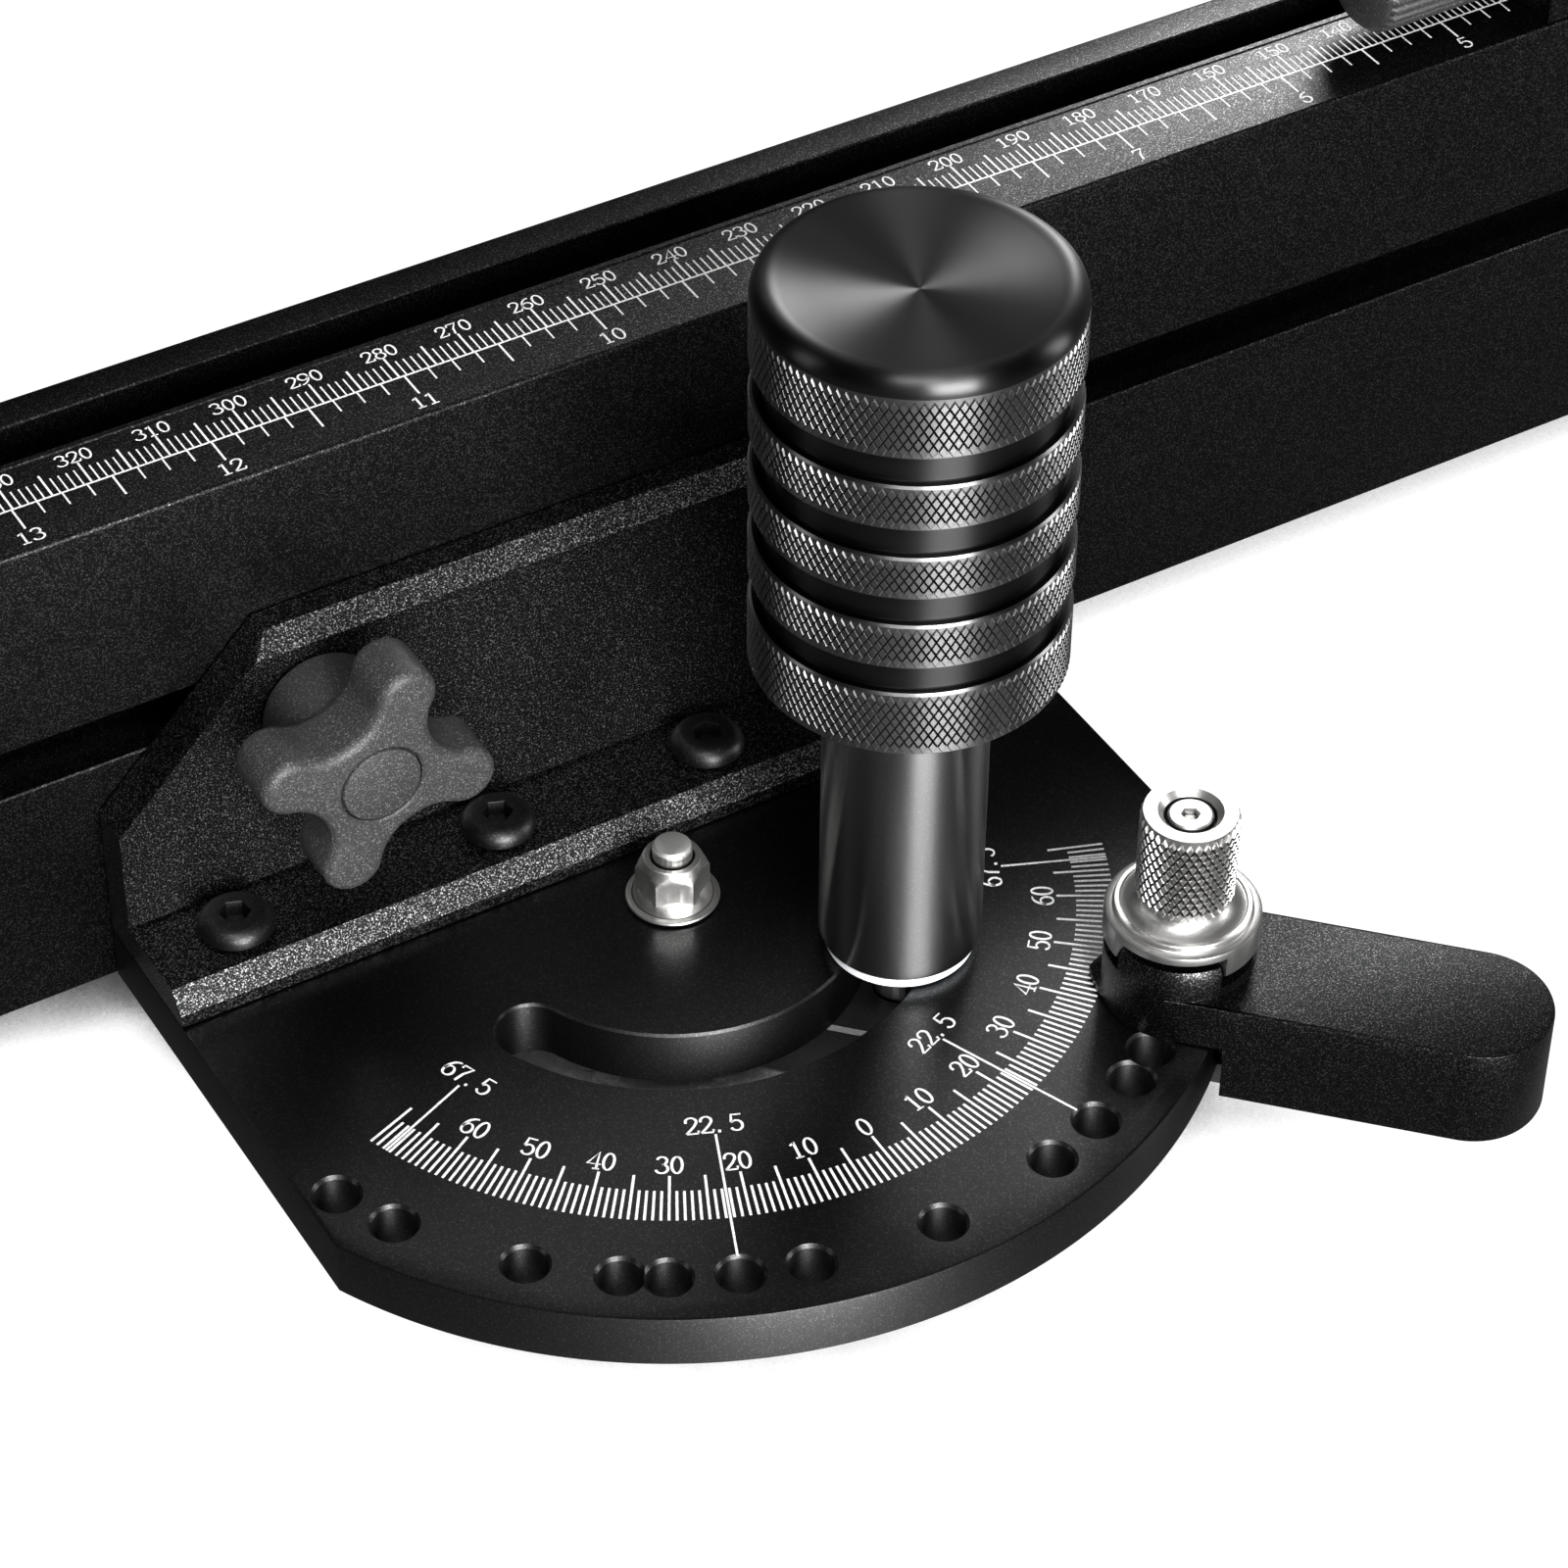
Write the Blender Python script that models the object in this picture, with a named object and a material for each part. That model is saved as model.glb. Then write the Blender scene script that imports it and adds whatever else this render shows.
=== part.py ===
import bmesh
import bpy
from math import asin, atan2, cos, degrees, hypot, pi, radians, sin, sqrt
from mathutils import Matrix, Vector

# All sizes are in millimetres and degrees. Meshes are written in metres.
MM = 0.001
GAP = 0.3
FIT = 0.3

# Mitre bar, along the direction that the index arm points in.
BAR_LONG = 450.0
BAR_WIDE = 19.0
BAR_THICK = 9.5
BAR_NEAR = 62.0
BAR_EDGE = 0.5
TONGUE_WIDE = 7.0
TONGUE_THICK = 3.2
TONGUE_END = 99.0
BAR_ANGLE = 45.0
ADJUSTER_END_IN = 38.0
ADJUSTER_PLACES = [BAR_NEAR - BAR_LONG + ADJUSTER_END_IN + BAR_LONG * part / 90 for part in (0, 19, 38, 51)]
ADJUSTER_SIDE = 5.2
ADJUSTER_R = 2.5
KERF_LONG = 18.0
KERF_WIDE = 0.8

# Protractor plate.
PLATE_THICK = 7.7
PLATE_WIDE = 125.0
PLATE_R = 70.0
PLATE_BACK = 29.2
PLATE_EDGE = 0.5
PLATE_LOW = BAR_THICK + GAP
PLATE_TOP = PLATE_LOW + PLATE_THICK
INDEX_R = 63.5
INDEX_HOLE_R = 2.7
INDEX_ANGLES = (-67.5, -60.0, -45.0, -30.0, -22.5, -15.0, 0.0, 15.0, 22.5, 30.0, 45.0, 60.0, 67.5)
CROWDED_ANGLES = (-35.0, 35.0)
HOLE_CHAMFER = 0.45
SLOT_R = 28.9
SLOT_WIDE = 8.8
SLOT_END = 65.5

# Pivot.
PIVOT_R = 2.5
PIVOT_HEAD_R = 4.25
PIVOT_HEAD_HIGH = 4.7
PIVOT_STANDS = 8.85
PIVOT_TIP = PLATE_TOP + PIVOT_STANDS
BUSH_R = 4.7
NUT_FLANGE_R = 5.9
NUT_ACROSS = 8.0

# Clamping handle.
STUD_R = 3.0
STUD_STANDS = 30.0
SHANK_R = 10.0
GRIP_R = 18.85
GRIP_LOW = 46.6
GRIP_TOP = 100.0
GROOVE_R = 17.4
WASHER_R = 9.2
HANDLE_LOW = 2.2
BANDS = ((46.6, 55.7), (59.4, 65.7), (69.5, 75.4), (79.3, 85.45), (89.2, 98.0))

# Fence bracket.
BRACKET_DEEP = 20.0
BRACKET_FRONT = PLATE_BACK - BRACKET_DEEP
FOOT_TOP = 4.7
WALL_THICK = 5.8
WALL_FRONT = PLATE_BACK - WALL_THICK
WALL_TOP = 41.5
WALL_CLIP = 82.2
BRACKET_SCREWS = (-51.0, -15.0, 15.0, 51.0)
SCREW_ROW_BACK = 11.7
SCREW_ROW = PLATE_BACK - SCREW_ROW_BACK
SCREW_R = 2.5
SCREW_HEAD_R = 4.75
SCREW_HEAD_HIGH = 2.75

# Fence.
FENCE_LEFT = -335.6
FENCE_LONG = 600.0
FENCE_FRONT = PLATE_BACK + GAP
FENCE_DEEP = 27.6
FENCE_HIGH = 69.5
FENCE_LOW = PLATE_LOW
FENCE_TOP = FENCE_LOW + FENCE_HIGH
FENCE_BACK = FENCE_FRONT + FENCE_DEEP
FENCE_EDGE = 0.6
LIP = 3.0
FRONT_SLOT_RISE = 37.7
FRONT_SLOT_Z = FENCE_LOW + FRONT_SLOT_RISE
FRONT_MOUTH = 7.0
FRONT_CHAMBER = 15.0
FRONT_CHAMBER_DEEP = 6.5
TOP_SLOT_IN = 19.37
TOP_SLOT_Y = FENCE_FRONT + TOP_SLOT_IN
TOP_MOUTH = 6.26
TOP_CHAMBER = 12.4
TOP_CHAMBER_DEEP = 5.5
SCALE_LINE_IN = 15.1
SCALE_LINE_Y = FENCE_FRONT + SCALE_LINE_IN

# Star knobs on the fence bolts.
BOLT_X = 35.6
BOLT_R = 3.0
BOLT_HEAD = 13.8
BOLT_HEAD_THICK = 4.0
STAR_LONG = 17.2
STAR_THICK = 8.6
STAR_HUB_R = 6.7
STAR_HUB_END = WALL_FRONT - GAP
STAR_FRONT = STAR_HUB_END - STAR_LONG
LOBE_R = 3.9
LOBE_OUT = 12.0
VALLEY_R = 6.65
LOBE_ANGLE = 70.0
CAP_R = 5.1
INSERT_R = 4.8

# Index arm, boss and plunger. Heights are above the plate's top.
ARM_HALF = 9.25
BOSS_AT = INDEX_R
ARM_END_AT = 99.75
ARM_TOP = 6.7
ARM_STEP_AT = 71.0
POINTER_AT = 52.7
NOTCH_FLOOR = 8.0
LUG_TOP = 11.0
NECK_TOP = 15.0
NECK_R = 4.3
CORE_R = 7.2
CHAMBER_R = 3.6
STEM_R = 2.4
PIN_R = 2.5
PIN_TIP = 0.25
COLLAR_R = 9.5
TAB_LOW = 9.9
WINDOW_TOP = 12.9
KNOB_R = 6.0
KNOB_TOP = 29.3
WIRE_R = 0.25
SPRING_TURNS = 5

# Flip stop on the fence's top slot.
STOP_LEFT = 149.0
STOP_LONG = 32.0
STOP_HIGH = 12.0
STOP_BOLT_R = 2.5
STOP_BOLT_HEAD = 11.2
STOP_KNOB_R = 10.0
STOP_KNOB_HIGH = 15.0
FLIP_OUT = 6.9
FLIP_RISE = 7.2
FLIP_Y = FENCE_BACK + FLIP_OUT
FLIP_Z = FENCE_TOP + FLIP_RISE
FLIP_BARREL_R = 5.5
FLIP_PIN_R = 2.0
FLIP_REACH = 54.5
FLIP_LOW = FLIP_Z - FLIP_REACH
FLIP_THICK = 5.0
EAR_THICK = 4.0
SIDE_KNOB_R = 7.5
SIDE_KNOB_IN = 10.5
SIDE_KNOB_RISE = 9.1
SIDE_KNOB_LONG = 22.0
SIDE_KNOB_AWAY = 2.0
SIDE_KNOB_Y = FENCE_FRONT + SIDE_KNOB_IN
SIDE_KNOB_Z = FENCE_TOP + SIDE_KNOB_RISE
SIDE_KNOB_RIGHT = STOP_LEFT - SIDE_KNOB_AWAY
SIDE_KNOB_LEFT = SIDE_KNOB_RIGHT - SIDE_KNOB_LONG

for old in list(bpy.data.objects):
    bpy.data.objects.remove(old, do_unlink=True)


def polar(radius, angle):
    return (radius * cos(radians(angle)), radius * sin(radians(angle)))


def arc(centre, radius, start, end, count):
    """Points on an arc, both ends included."""
    turn = (end - start) / (count - 1)
    found = []
    for step in range(count):
        x, y = polar(radius, start + turn * step)
        found.append((centre[0] + x, centre[1] + y))
    return found


def on_plate(radius, angle):
    """The plane point at an angle read on the degree scale, 0 at the front and plus to the right."""
    return polar(radius, angle - 90.0)


def box_outline(low, high):
    return [(low[0], low[1]), (high[0], low[1]), (high[0], high[1]), (low[0], high[1])]


def hexagon(across, count):
    """Points round a hexagon, at even angles."""
    found = []
    for step in range(count):
        angle = 360.0 * step / count
        radius = across / 2 / cos(radians((angle + 30.0) % 60.0 - 30.0))
        found.append(polar(radius, angle))
    return found


def circle(radius, count):
    return [polar(radius, 360.0 * step / count) for step in range(count)]


AXES = {
    "X": Matrix(((0, 0, 1), (1, 0, 0), (0, 1, 0))),
    "Y": Matrix(((1, 0, 0), (0, 0, 1), (0, 1, 0))),
    "Z": Matrix.Identity(3),
}


def skin(bm, rings, axis="Z", at=(0, 0, 0), closed=False):
    """A body through rings of (outline, height), with end caps unless the last ring meets the first."""
    turn = AXES[axis]
    rows = []
    for outline, height in rings:
        row = [bm.verts.new(turn @ Vector((p[0], p[1], height)) + Vector(at)) for p in outline]
        rows.append(row)
    pairs = list(zip(rows, rows[1:]))
    if closed:
        pairs.append((rows[-1], rows[0]))
    for low, high in pairs:
        for i in range(len(low)):
            j = (i + 1) % len(low)
            bm.faces.new((low[i], low[j], high[j], high[i]))
    if not closed:
        bm.faces.new(rows[0][::-1])
        bm.faces.new(rows[-1])


def prism(bm, outline, low, high, axis="Z", at=(0, 0, 0)):
    skin(bm, [(outline, low), (outline, high)], axis, at)


def lathe(bm, profile, count=24, axis="Z", at=(0, 0, 0), closed=False):
    """A body of revolution through (radius, height) points."""
    skin(bm, [(circle(r, count), h) for r, h in profile], axis, at, closed)


def sector(inner, outer, middle, width, count=9):
    """A ring sector's outline."""
    far = arc((0, 0), outer, middle - width / 2, middle + width / 2, count)
    near = arc((0, 0), inner, middle + width / 2, middle - width / 2, count)
    return far + near


def body(name, bm, look, at=(0, 0, 0), turn=0.0):
    """An object from a bmesh in millimetres, with its origin at a point and turned about Z."""
    bmesh.ops.remove_doubles(bm, verts=bm.verts, dist=0.0001)
    bmesh.ops.recalc_face_normals(bm, faces=bm.faces)
    bmesh.ops.scale(bm, vec=(MM, MM, MM), verts=bm.verts)
    mesh = bpy.data.meshes.new(name)
    bm.to_mesh(mesh)
    bm.free()
    made = bpy.data.objects.new(name, mesh)
    made.location = Vector(at) * MM
    made.rotation_euler = (0.0, 0.0, radians(turn))
    bpy.context.scene.collection.objects.link(made)
    if look:
        colour, roughness, metallic = look
        material = bpy.data.materials.new(name)
        material.use_nodes = True
        shader = material.node_tree.nodes["Principled BSDF"]
        shader.inputs["Base Color"].default_value = (*colour, 1.0)
        shader.inputs["Roughness"].default_value = roughness
        shader.inputs["Metallic"].default_value = metallic
        mesh.materials.append(material)
    return made


def cut(target, name, bm):
    """Takes a cutter, drawn in the target's own coordinates, out of the target."""
    cutter = body(target.name + "_cut_" + name, bm, None, Vector(target.location) / MM)
    cutter.rotation_euler = target.rotation_euler
    cutter.hide_render = True
    cutter.display_type = "WIRE"
    boolean = target.modifiers.new(name, "BOOLEAN")
    boolean.operation = "DIFFERENCE"
    boolean.solver = "EXACT"
    boolean.object = cutter


def soften(target, width, angle=50.0, segments=2):
    """Rounds the sharp edges."""
    bevel = target.modifiers.new("edge", "BEVEL")
    bevel.width = width * MM
    bevel.segments = segments
    bevel.limit_method = "ANGLE"
    bevel.angle_limit = radians(angle)


BLACK_ANODISED = ((0.012, 0.012, 0.013), 0.42, 0.7)
BLACK_BLASTED = ((0.016, 0.016, 0.017), 0.55, 0.6)
BLACK_OXIDE = ((0.02, 0.02, 0.021), 0.4, 0.8)
BLACK_PLASTIC = ((0.03, 0.03, 0.031), 0.6, 0.0)
STEEL = ((0.62, 0.61, 0.6), 0.3, 1.0)
ZINC = ((0.72, 0.72, 0.7), 0.28, 1.0)
SPRING_STEEL = ((0.5, 0.5, 0.5), 0.35, 1.0)
NYLON = ((0.82, 0.82, 0.8), 0.45, 0.0)
BRASS = ((0.72, 0.5, 0.2), 0.3, 1.0)
CLEAR = ((0.75, 0.78, 0.8), 0.08, 0.0)

BAR_TURN = BAR_ANGLE - 90.0
STUD_XY = on_plate(SLOT_R, BAR_ANGLE)
STAR_Z = FRONT_SLOT_Z


def cap_screw(bm, shank_r, low, seat, head_r, head_high, across, socket, count=24):
    """A button-head screw along +Z: shank end, head seat, head and hexagon socket."""
    dome = [(head_r, seat + 0.25 * head_high)]
    for step in range(1, 4):
        lift = step / 3
        radius = head_r - (head_r - across * 0.72) * (1 - sqrt(1 - lift * lift))
        dome.append((radius, seat + head_high * (0.25 + 0.75 * lift)))
    rings = [(circle(shank_r - 0.5, count), low), (circle(shank_r, count), low + 0.5)]
    rings += [(circle(shank_r, count), seat), (circle(head_r, count), seat)]
    rings += [(circle(r, count), h) for r, h in dome]
    top = seat + head_high
    rings += [(hexagon(across, count), top), (hexagon(across, count), top - socket)]
    skin(bm, rings)


# The mitre bar: a flat bar with a tongue under the index arm.
bm = bmesh.new()
side = [(BAR_NEAR - BAR_LONG, 0.0), (BAR_NEAR - 0.6, 0.0), (BAR_NEAR - 0.6, BAR_THICK - TONGUE_THICK)]
side += [(TONGUE_END, BAR_THICK - TONGUE_THICK), (TONGUE_END, BAR_THICK)]
side += [(BAR_NEAR - BAR_LONG, BAR_THICK)]
prism(bm, side, -BAR_WIDE / 2, BAR_WIDE / 2, "Y")
bar = body("miter_bar", bm, BLACK_OXIDE, turn=BAR_TURN)
bm = bmesh.new()
for lean in (-1, 1):
    near, far = sorted((lean * TONGUE_WIDE / 2, lean * (BAR_WIDE / 2 + 2)))
    prism(bm, box_outline((BAR_NEAR, near), (TONGUE_END + 5, far)), -2, BAR_THICK + 2)
soften(bar, BAR_EDGE, 60.0, 1)
cut(bar, "tongue", bm)
bm = bmesh.new()
bore = ADJUSTER_R + FIT
lip = degrees(asin(KERF_WIDE / 2 / bore))
for place in ADJUSTER_PLACES:
    middle = (place, ADJUSTER_SIDE)
    keyhole = arc(middle, bore, lip, 180 - lip, 11)
    keyhole += [(place - KERF_LONG / 2, ADJUSTER_SIDE + KERF_WIDE / 2)]
    keyhole += [(place - KERF_LONG / 2, ADJUSTER_SIDE - KERF_WIDE / 2)]
    keyhole += arc(middle, bore, 180 + lip, 360 - lip, 11)
    keyhole += [(place + KERF_LONG / 2, ADJUSTER_SIDE - KERF_WIDE / 2)]
    keyhole += [(place + KERF_LONG / 2, ADJUSTER_SIDE + KERF_WIDE / 2)]
    prism(bm, keyhole, -2, BAR_THICK + 2)
low = PIVOT_HEAD_HIGH + 2 * GAP
pivot_bore = [(PIVOT_HEAD_R + FIT, -2), (PIVOT_HEAD_R + FIT, low), (PIVOT_R + FIT, low)]
lathe(bm, pivot_bore + [(PIVOT_R + FIT, BAR_THICK + 2)])
lathe(bm, [(STUD_R + FIT, -2), (STUD_R + FIT, BAR_THICK + 2)], at=(SLOT_R, 0, 0))
SINK_LOW = BAR_THICK - TONGUE_THICK
ARM_SCREWS = (80.0, 94.0)
ARM_SCREW_R = 1.25
ARM_SCREW_HEAD_R = 2.3
for place in ARM_SCREWS:
    sink = [(ARM_SCREW_HEAD_R + FIT + 1, SINK_LOW - 1), (ARM_SCREW_R + FIT, SINK_LOW + 1.3 + FIT)]
    lathe(bm, sink + [(ARM_SCREW_R + FIT, BAR_THICK + 2)], at=(place, 0, 0))
cut(bar, "holes", bm)

# Grub screws that take up the play in the table slot.
for number, place in enumerate(ADJUSTER_PLACES, 1):
    bm = bmesh.new()
    top = BAR_THICK - GAP
    rings = [(circle(ADJUSTER_R - 0.5, 24), GAP), (circle(ADJUSTER_R, 24), GAP + 0.5)]
    rings += [(circle(ADJUSTER_R, 24), top - 0.3), (circle(ADJUSTER_R - 0.3, 24), top)]
    rings += [(hexagon(2.5, 24), top), (hexagon(2.5, 24), top - 2.5)]
    skin(bm, rings)
    x, y = polar(1.0, BAR_TURN)
    spot = (place * x - ADJUSTER_SIDE * y, place * y + ADJUSTER_SIDE * x, 0)
    body(f"bar_adjuster_{number}", bm, BLACK_OXIDE, spot)

# The protractor plate.
bm = bmesh.new()
half = PLATE_WIDE / 2
reach = degrees(asin(half / PLATE_R))
outline = arc((0, 0), PLATE_R, -90 - reach, -90 + reach, 49)
outline += [(half, PLATE_BACK), (-half, PLATE_BACK)]
prism(bm, outline, PLATE_LOW, PLATE_TOP)
plate = body("protractor_plate", bm, BLACK_ANODISED)
soften(plate, PLATE_EDGE, 30.0, 1)
bm = bmesh.new()


def slot_outline(wide):
    """The arc slot, its ends round."""
    grow = wide / 2
    left = on_plate(SLOT_R, -SLOT_END)
    right = on_plate(SLOT_R, SLOT_END)
    found = arc((0, 0), SLOT_R + grow, -90 - SLOT_END, -90 + SLOT_END, 33)
    found += arc(right, grow, -90 + SLOT_END, 90 + SLOT_END, 11)[1:-1]
    found += arc((0, 0), SLOT_R - grow, -90 + SLOT_END, -90 - SLOT_END, 33)
    found += arc(left, grow, 90 - SLOT_END, 270 - SLOT_END, 11)[1:-1]
    return found


wide = SLOT_WIDE + 2 * HOLE_CHAMFER
rings = [(slot_outline(SLOT_WIDE), PLATE_LOW - 2), (slot_outline(SLOT_WIDE), PLATE_TOP - HOLE_CHAMFER)]
rings += [(slot_outline(wide), PLATE_TOP), (slot_outline(wide), PLATE_TOP + 2)]
skin(bm, rings)
index_hole = [(INDEX_HOLE_R, PLATE_LOW - 2), (INDEX_HOLE_R, PLATE_TOP - HOLE_CHAMFER)]
index_hole += [(INDEX_HOLE_R + HOLE_CHAMFER, PLATE_TOP), (INDEX_HOLE_R + HOLE_CHAMFER, PLATE_TOP + 2)]
for angle in INDEX_ANGLES:
    lathe(bm, index_hole, 18, at=(*on_plate(INDEX_R, angle), 0))
lathe(bm, [(BUSH_R + FIT, PLATE_LOW - 2), (BUSH_R + FIT, PLATE_TOP + 2)])
for place in BRACKET_SCREWS:
    lathe(bm, [(SCREW_R + FIT, PLATE_LOW - 2), (SCREW_R + FIT, PLATE_TOP + 2)], 20, at=(place, SCREW_ROW, 0))
cut(plate, "holes", bm)
bm = bmesh.new()
for angle in CROWDED_ANGLES:
    lathe(bm, index_hole, 18, at=(*on_plate(INDEX_R, angle), 0))
cut(plate, "crowded_holes", bm)

# Pivot bolt from below, its bush in the plate and the flange nut on top.
bm = bmesh.new()
seat = GAP + PIVOT_HEAD_HIGH
rings = [(hexagon(4.0, 24), GAP + 2.6), (hexagon(4.0, 24), GAP)]
rings += [(circle(PIVOT_HEAD_R - 0.4, 24), GAP), (circle(PIVOT_HEAD_R, 24), GAP + 0.4)]
rings += [(circle(PIVOT_HEAD_R, 24), seat), (circle(PIVOT_R, 24), seat)]
rings += [(circle(PIVOT_R, 24), PIVOT_TIP - 0.6), (circle(PIVOT_R - 0.5, 24), PIVOT_TIP)]
skin(bm, rings)
body("pivot_bolt", bm, ZINC)
bm = bmesh.new()
sleeve = [(PIVOT_R + FIT, PLATE_LOW), (BUSH_R, PLATE_LOW), (BUSH_R, PLATE_TOP), (PIVOT_R + FIT, PLATE_TOP)]
lathe(bm, sleeve, closed=True)
body("pivot_bush", bm, BRASS)
bm = bmesh.new()
low = PLATE_TOP + GAP
rings = [(circle(PIVOT_R + FIT, 36), low), (circle(NUT_FLANGE_R - 0.3, 36), low)]
rings += [(circle(NUT_FLANGE_R, 36), low + 0.3), (circle(NUT_FLANGE_R, 36), low + 0.9)]
rings += [(circle(NUT_FLANGE_R - 0.5, 36), low + 1.2)]
rings += [([polar(max(hypot(*p), 4.75), degrees(atan2(p[1], p[0]))) for p in hexagon(NUT_ACROSS, 36)], low + 1.7)]
rings += [(hexagon(NUT_ACROSS, 36), low + 1.75), (hexagon(NUT_ACROSS, 36), low + 3.8)]
rings += [([polar(min(hypot(*p), 4.05), degrees(atan2(p[1], p[0]))) for p in hexagon(NUT_ACROSS, 36)], low + 4.3)]
rings += [(circle(3.5, 36), low + 4.35), (circle(3.5, 36), low + 5.7), (circle(3.2, 36), low + 6.3)]
rings += [(circle(PIVOT_R + FIT, 36), low + 6.3)]
skin(bm, rings, closed=True)
body("pivot_nut", bm, ZINC)

# The clamping stud in the bar.
bm = bmesh.new()
top = PLATE_TOP + STUD_STANDS
lathe(bm, [(STUD_R - 0.5, 1.0), (STUD_R, 1.5), (STUD_R, top - 0.5), (STUD_R - 0.5, top)])
body("clamp_stud", bm, STEEL, (*STUD_XY, 0))

# The turned clamping handle: bore, shank, knurled bands between grooves, and the dished top.
bm = bmesh.new()
base = PLATE_TOP + HANDLE_LOW
profile = [(STUD_R + FIT, PLATE_TOP + 34.0), (STUD_R + FIT, base + 0.4), (STUD_R + FIT + 0.4, base)]
profile += [(SHANK_R - 0.5, base), (SHANK_R, base + 0.5), (SHANK_R, PLATE_TOP + GRIP_LOW)]
for low, high in BANDS:
    if low > GRIP_LOW:
        profile += [(GROOVE_R, PLATE_TOP + low)]
    profile += [(GRIP_R - 0.4, PLATE_TOP + low), (GRIP_R, PLATE_TOP + low + 0.4)]
    if high < BANDS[-1][1]:
        profile += [(GRIP_R, PLATE_TOP + high - 0.4), (GRIP_R - 0.4, PLATE_TOP + high)]
        profile += [(GROOVE_R, PLATE_TOP + high)]
    else:
        profile += [(GRIP_R, PLATE_TOP + high)]
        shoulder = arc((GRIP_R - 2.0, PLATE_TOP + high), 2.0, 0, 90, 5)[1:]
        profile += shoulder
profile += [(GRIP_R - 2.6, PLATE_TOP + GRIP_TOP - 0.15), (0.0, PLATE_TOP + GRIP_TOP - 1.6)]
lathe(bm, profile, 48)
body("clamp_handle", bm, BLACK_ANODISED, (*STUD_XY, 0))
bm = bmesh.new()
low = PLATE_TOP + GAP
high = base - GAP
ring = [(STUD_R + FIT, low), (WASHER_R, low), (WASHER_R, high), (STUD_R + FIT, high)]
lathe(bm, ring, 36, closed=True)
body("clamp_washer", bm, NYLON, (*STUD_XY, 0))

# The fence bracket: an angle along the plate's back edge, with its wall's corners clipped.
bm = bmesh.new()
foot = PLATE_TOP + GAP
floor = PLATE_TOP + FOOT_TOP
top = PLATE_TOP + WALL_TOP
section = [(BRACKET_FRONT, foot), (PLATE_BACK, foot), (PLATE_BACK, top), (WALL_FRONT + 2.5, top)]
section += [(WALL_FRONT, top - 2.3), (WALL_FRONT, floor + 0.45), (WALL_FRONT + 0.5, floor + 0.45)]
section += [(WALL_FRONT + 0.5, floor), (BRACKET_FRONT + 2.3, floor), (BRACKET_FRONT, foot + 1.8)]
prism(bm, section, -half, half, "X")
bracket = body("fence_bracket", bm, BLACK_BLASTED)
bm = bmesh.new()
rise = PLATE_TOP + WALL_CLIP
for lean in (-1, 1):
    clip = [(lean * (half + 5), rise - half - 5), (lean * (half + 5), rise), (lean * (rise - top - 5), top + 5)]
    prism(bm, clip, WALL_FRONT - 5, PLATE_BACK + 5, "Y")
for place in BRACKET_SCREWS:
    hole = [(SCREW_R + FIT, PLATE_TOP - 1), (SCREW_R + FIT, floor + 1)]
    lathe(bm, hole, 20, at=(place, SCREW_ROW, 0))
for place in (-BOLT_X, BOLT_X):
    hole = [(BOLT_R + FIT, WALL_FRONT - 2), (BOLT_R + FIT, PLATE_BACK + 2)]
    lathe(bm, hole, 24, "Y", (place, 0, STAR_Z))
cut(bracket, "holes", bm)

# Button-head screws through the bracket's foot into the plate.
for number, place in enumerate(BRACKET_SCREWS, 1):
    bm = bmesh.new()
    seat = floor + GAP
    cap_screw(bm, SCREW_R, PLATE_LOW + 1.2, seat, SCREW_HEAD_R, SCREW_HEAD_HIGH, 3.0, 1.7)
    body(f"bracket_screw_{number}", bm, BLACK_OXIDE, (place, SCREW_ROW, 0))

# The fence: a hollow profile with a slot in its front and one in its top.
bm = bmesh.new()
front, back, low, top = FENCE_FRONT, FENCE_BACK, FENCE_LOW, FENCE_TOP
edge = FENCE_EDGE
deep = FRONT_CHAMBER_DEEP
down = TOP_CHAMBER_DEEP
section = arc((front + edge, low + edge), edge, 180, 270, 4)
section += arc((back - edge, low + edge), edge, 270, 360, 4)
section += arc((back - edge, top - edge), edge, 0, 90, 4)
section += [(TOP_SLOT_Y + TOP_MOUTH / 2, top), (TOP_SLOT_Y + TOP_MOUTH / 2, top - LIP)]
section += [(TOP_SLOT_Y + TOP_CHAMBER / 2, top - LIP), (TOP_SLOT_Y + TOP_CHAMBER / 2, top - LIP - down)]
section += [(TOP_SLOT_Y - TOP_CHAMBER / 2, top - LIP - down), (TOP_SLOT_Y - TOP_CHAMBER / 2, top - LIP)]
section += [(TOP_SLOT_Y - TOP_MOUTH / 2, top - LIP), (TOP_SLOT_Y - TOP_MOUTH / 2, top)]
section += [(SCALE_LINE_Y + 0.25, top), (SCALE_LINE_Y, top - 0.25), (SCALE_LINE_Y - 0.25, top)]
section += arc((front + edge, top - edge), edge, 90, 180, 4)
section += [(front, FRONT_SLOT_Z + FRONT_MOUTH / 2), (front + LIP, FRONT_SLOT_Z + FRONT_MOUTH / 2)]
section += [(front + LIP, FRONT_SLOT_Z + FRONT_CHAMBER / 2)]
section += [(front + LIP + deep, FRONT_SLOT_Z + FRONT_CHAMBER / 2)]
section += [(front + LIP + deep, FRONT_SLOT_Z - FRONT_CHAMBER / 2)]
section += [(front + LIP, FRONT_SLOT_Z - FRONT_CHAMBER / 2), (front + LIP, FRONT_SLOT_Z - FRONT_MOUTH / 2)]
section += [(front, FRONT_SLOT_Z - FRONT_MOUTH / 2)]
left = FENCE_LEFT
right = FENCE_LEFT + FENCE_LONG
prism(bm, section, left, right, "X")
fence = body("fence", bm, BLACK_ANODISED)
bm = bmesh.new()
wall = LIP
shelf_low = FRONT_SLOT_Z - FRONT_CHAMBER / 2 - wall
shelf_high = FRONT_SLOT_Z + FRONT_CHAMBER / 2 + wall
roof = top - LIP - down - wall
prism(bm, box_outline((front + wall, low + wall), (back - wall, shelf_low)), left - 5, right + 5, "X")
inner = front + LIP + deep + wall
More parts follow.
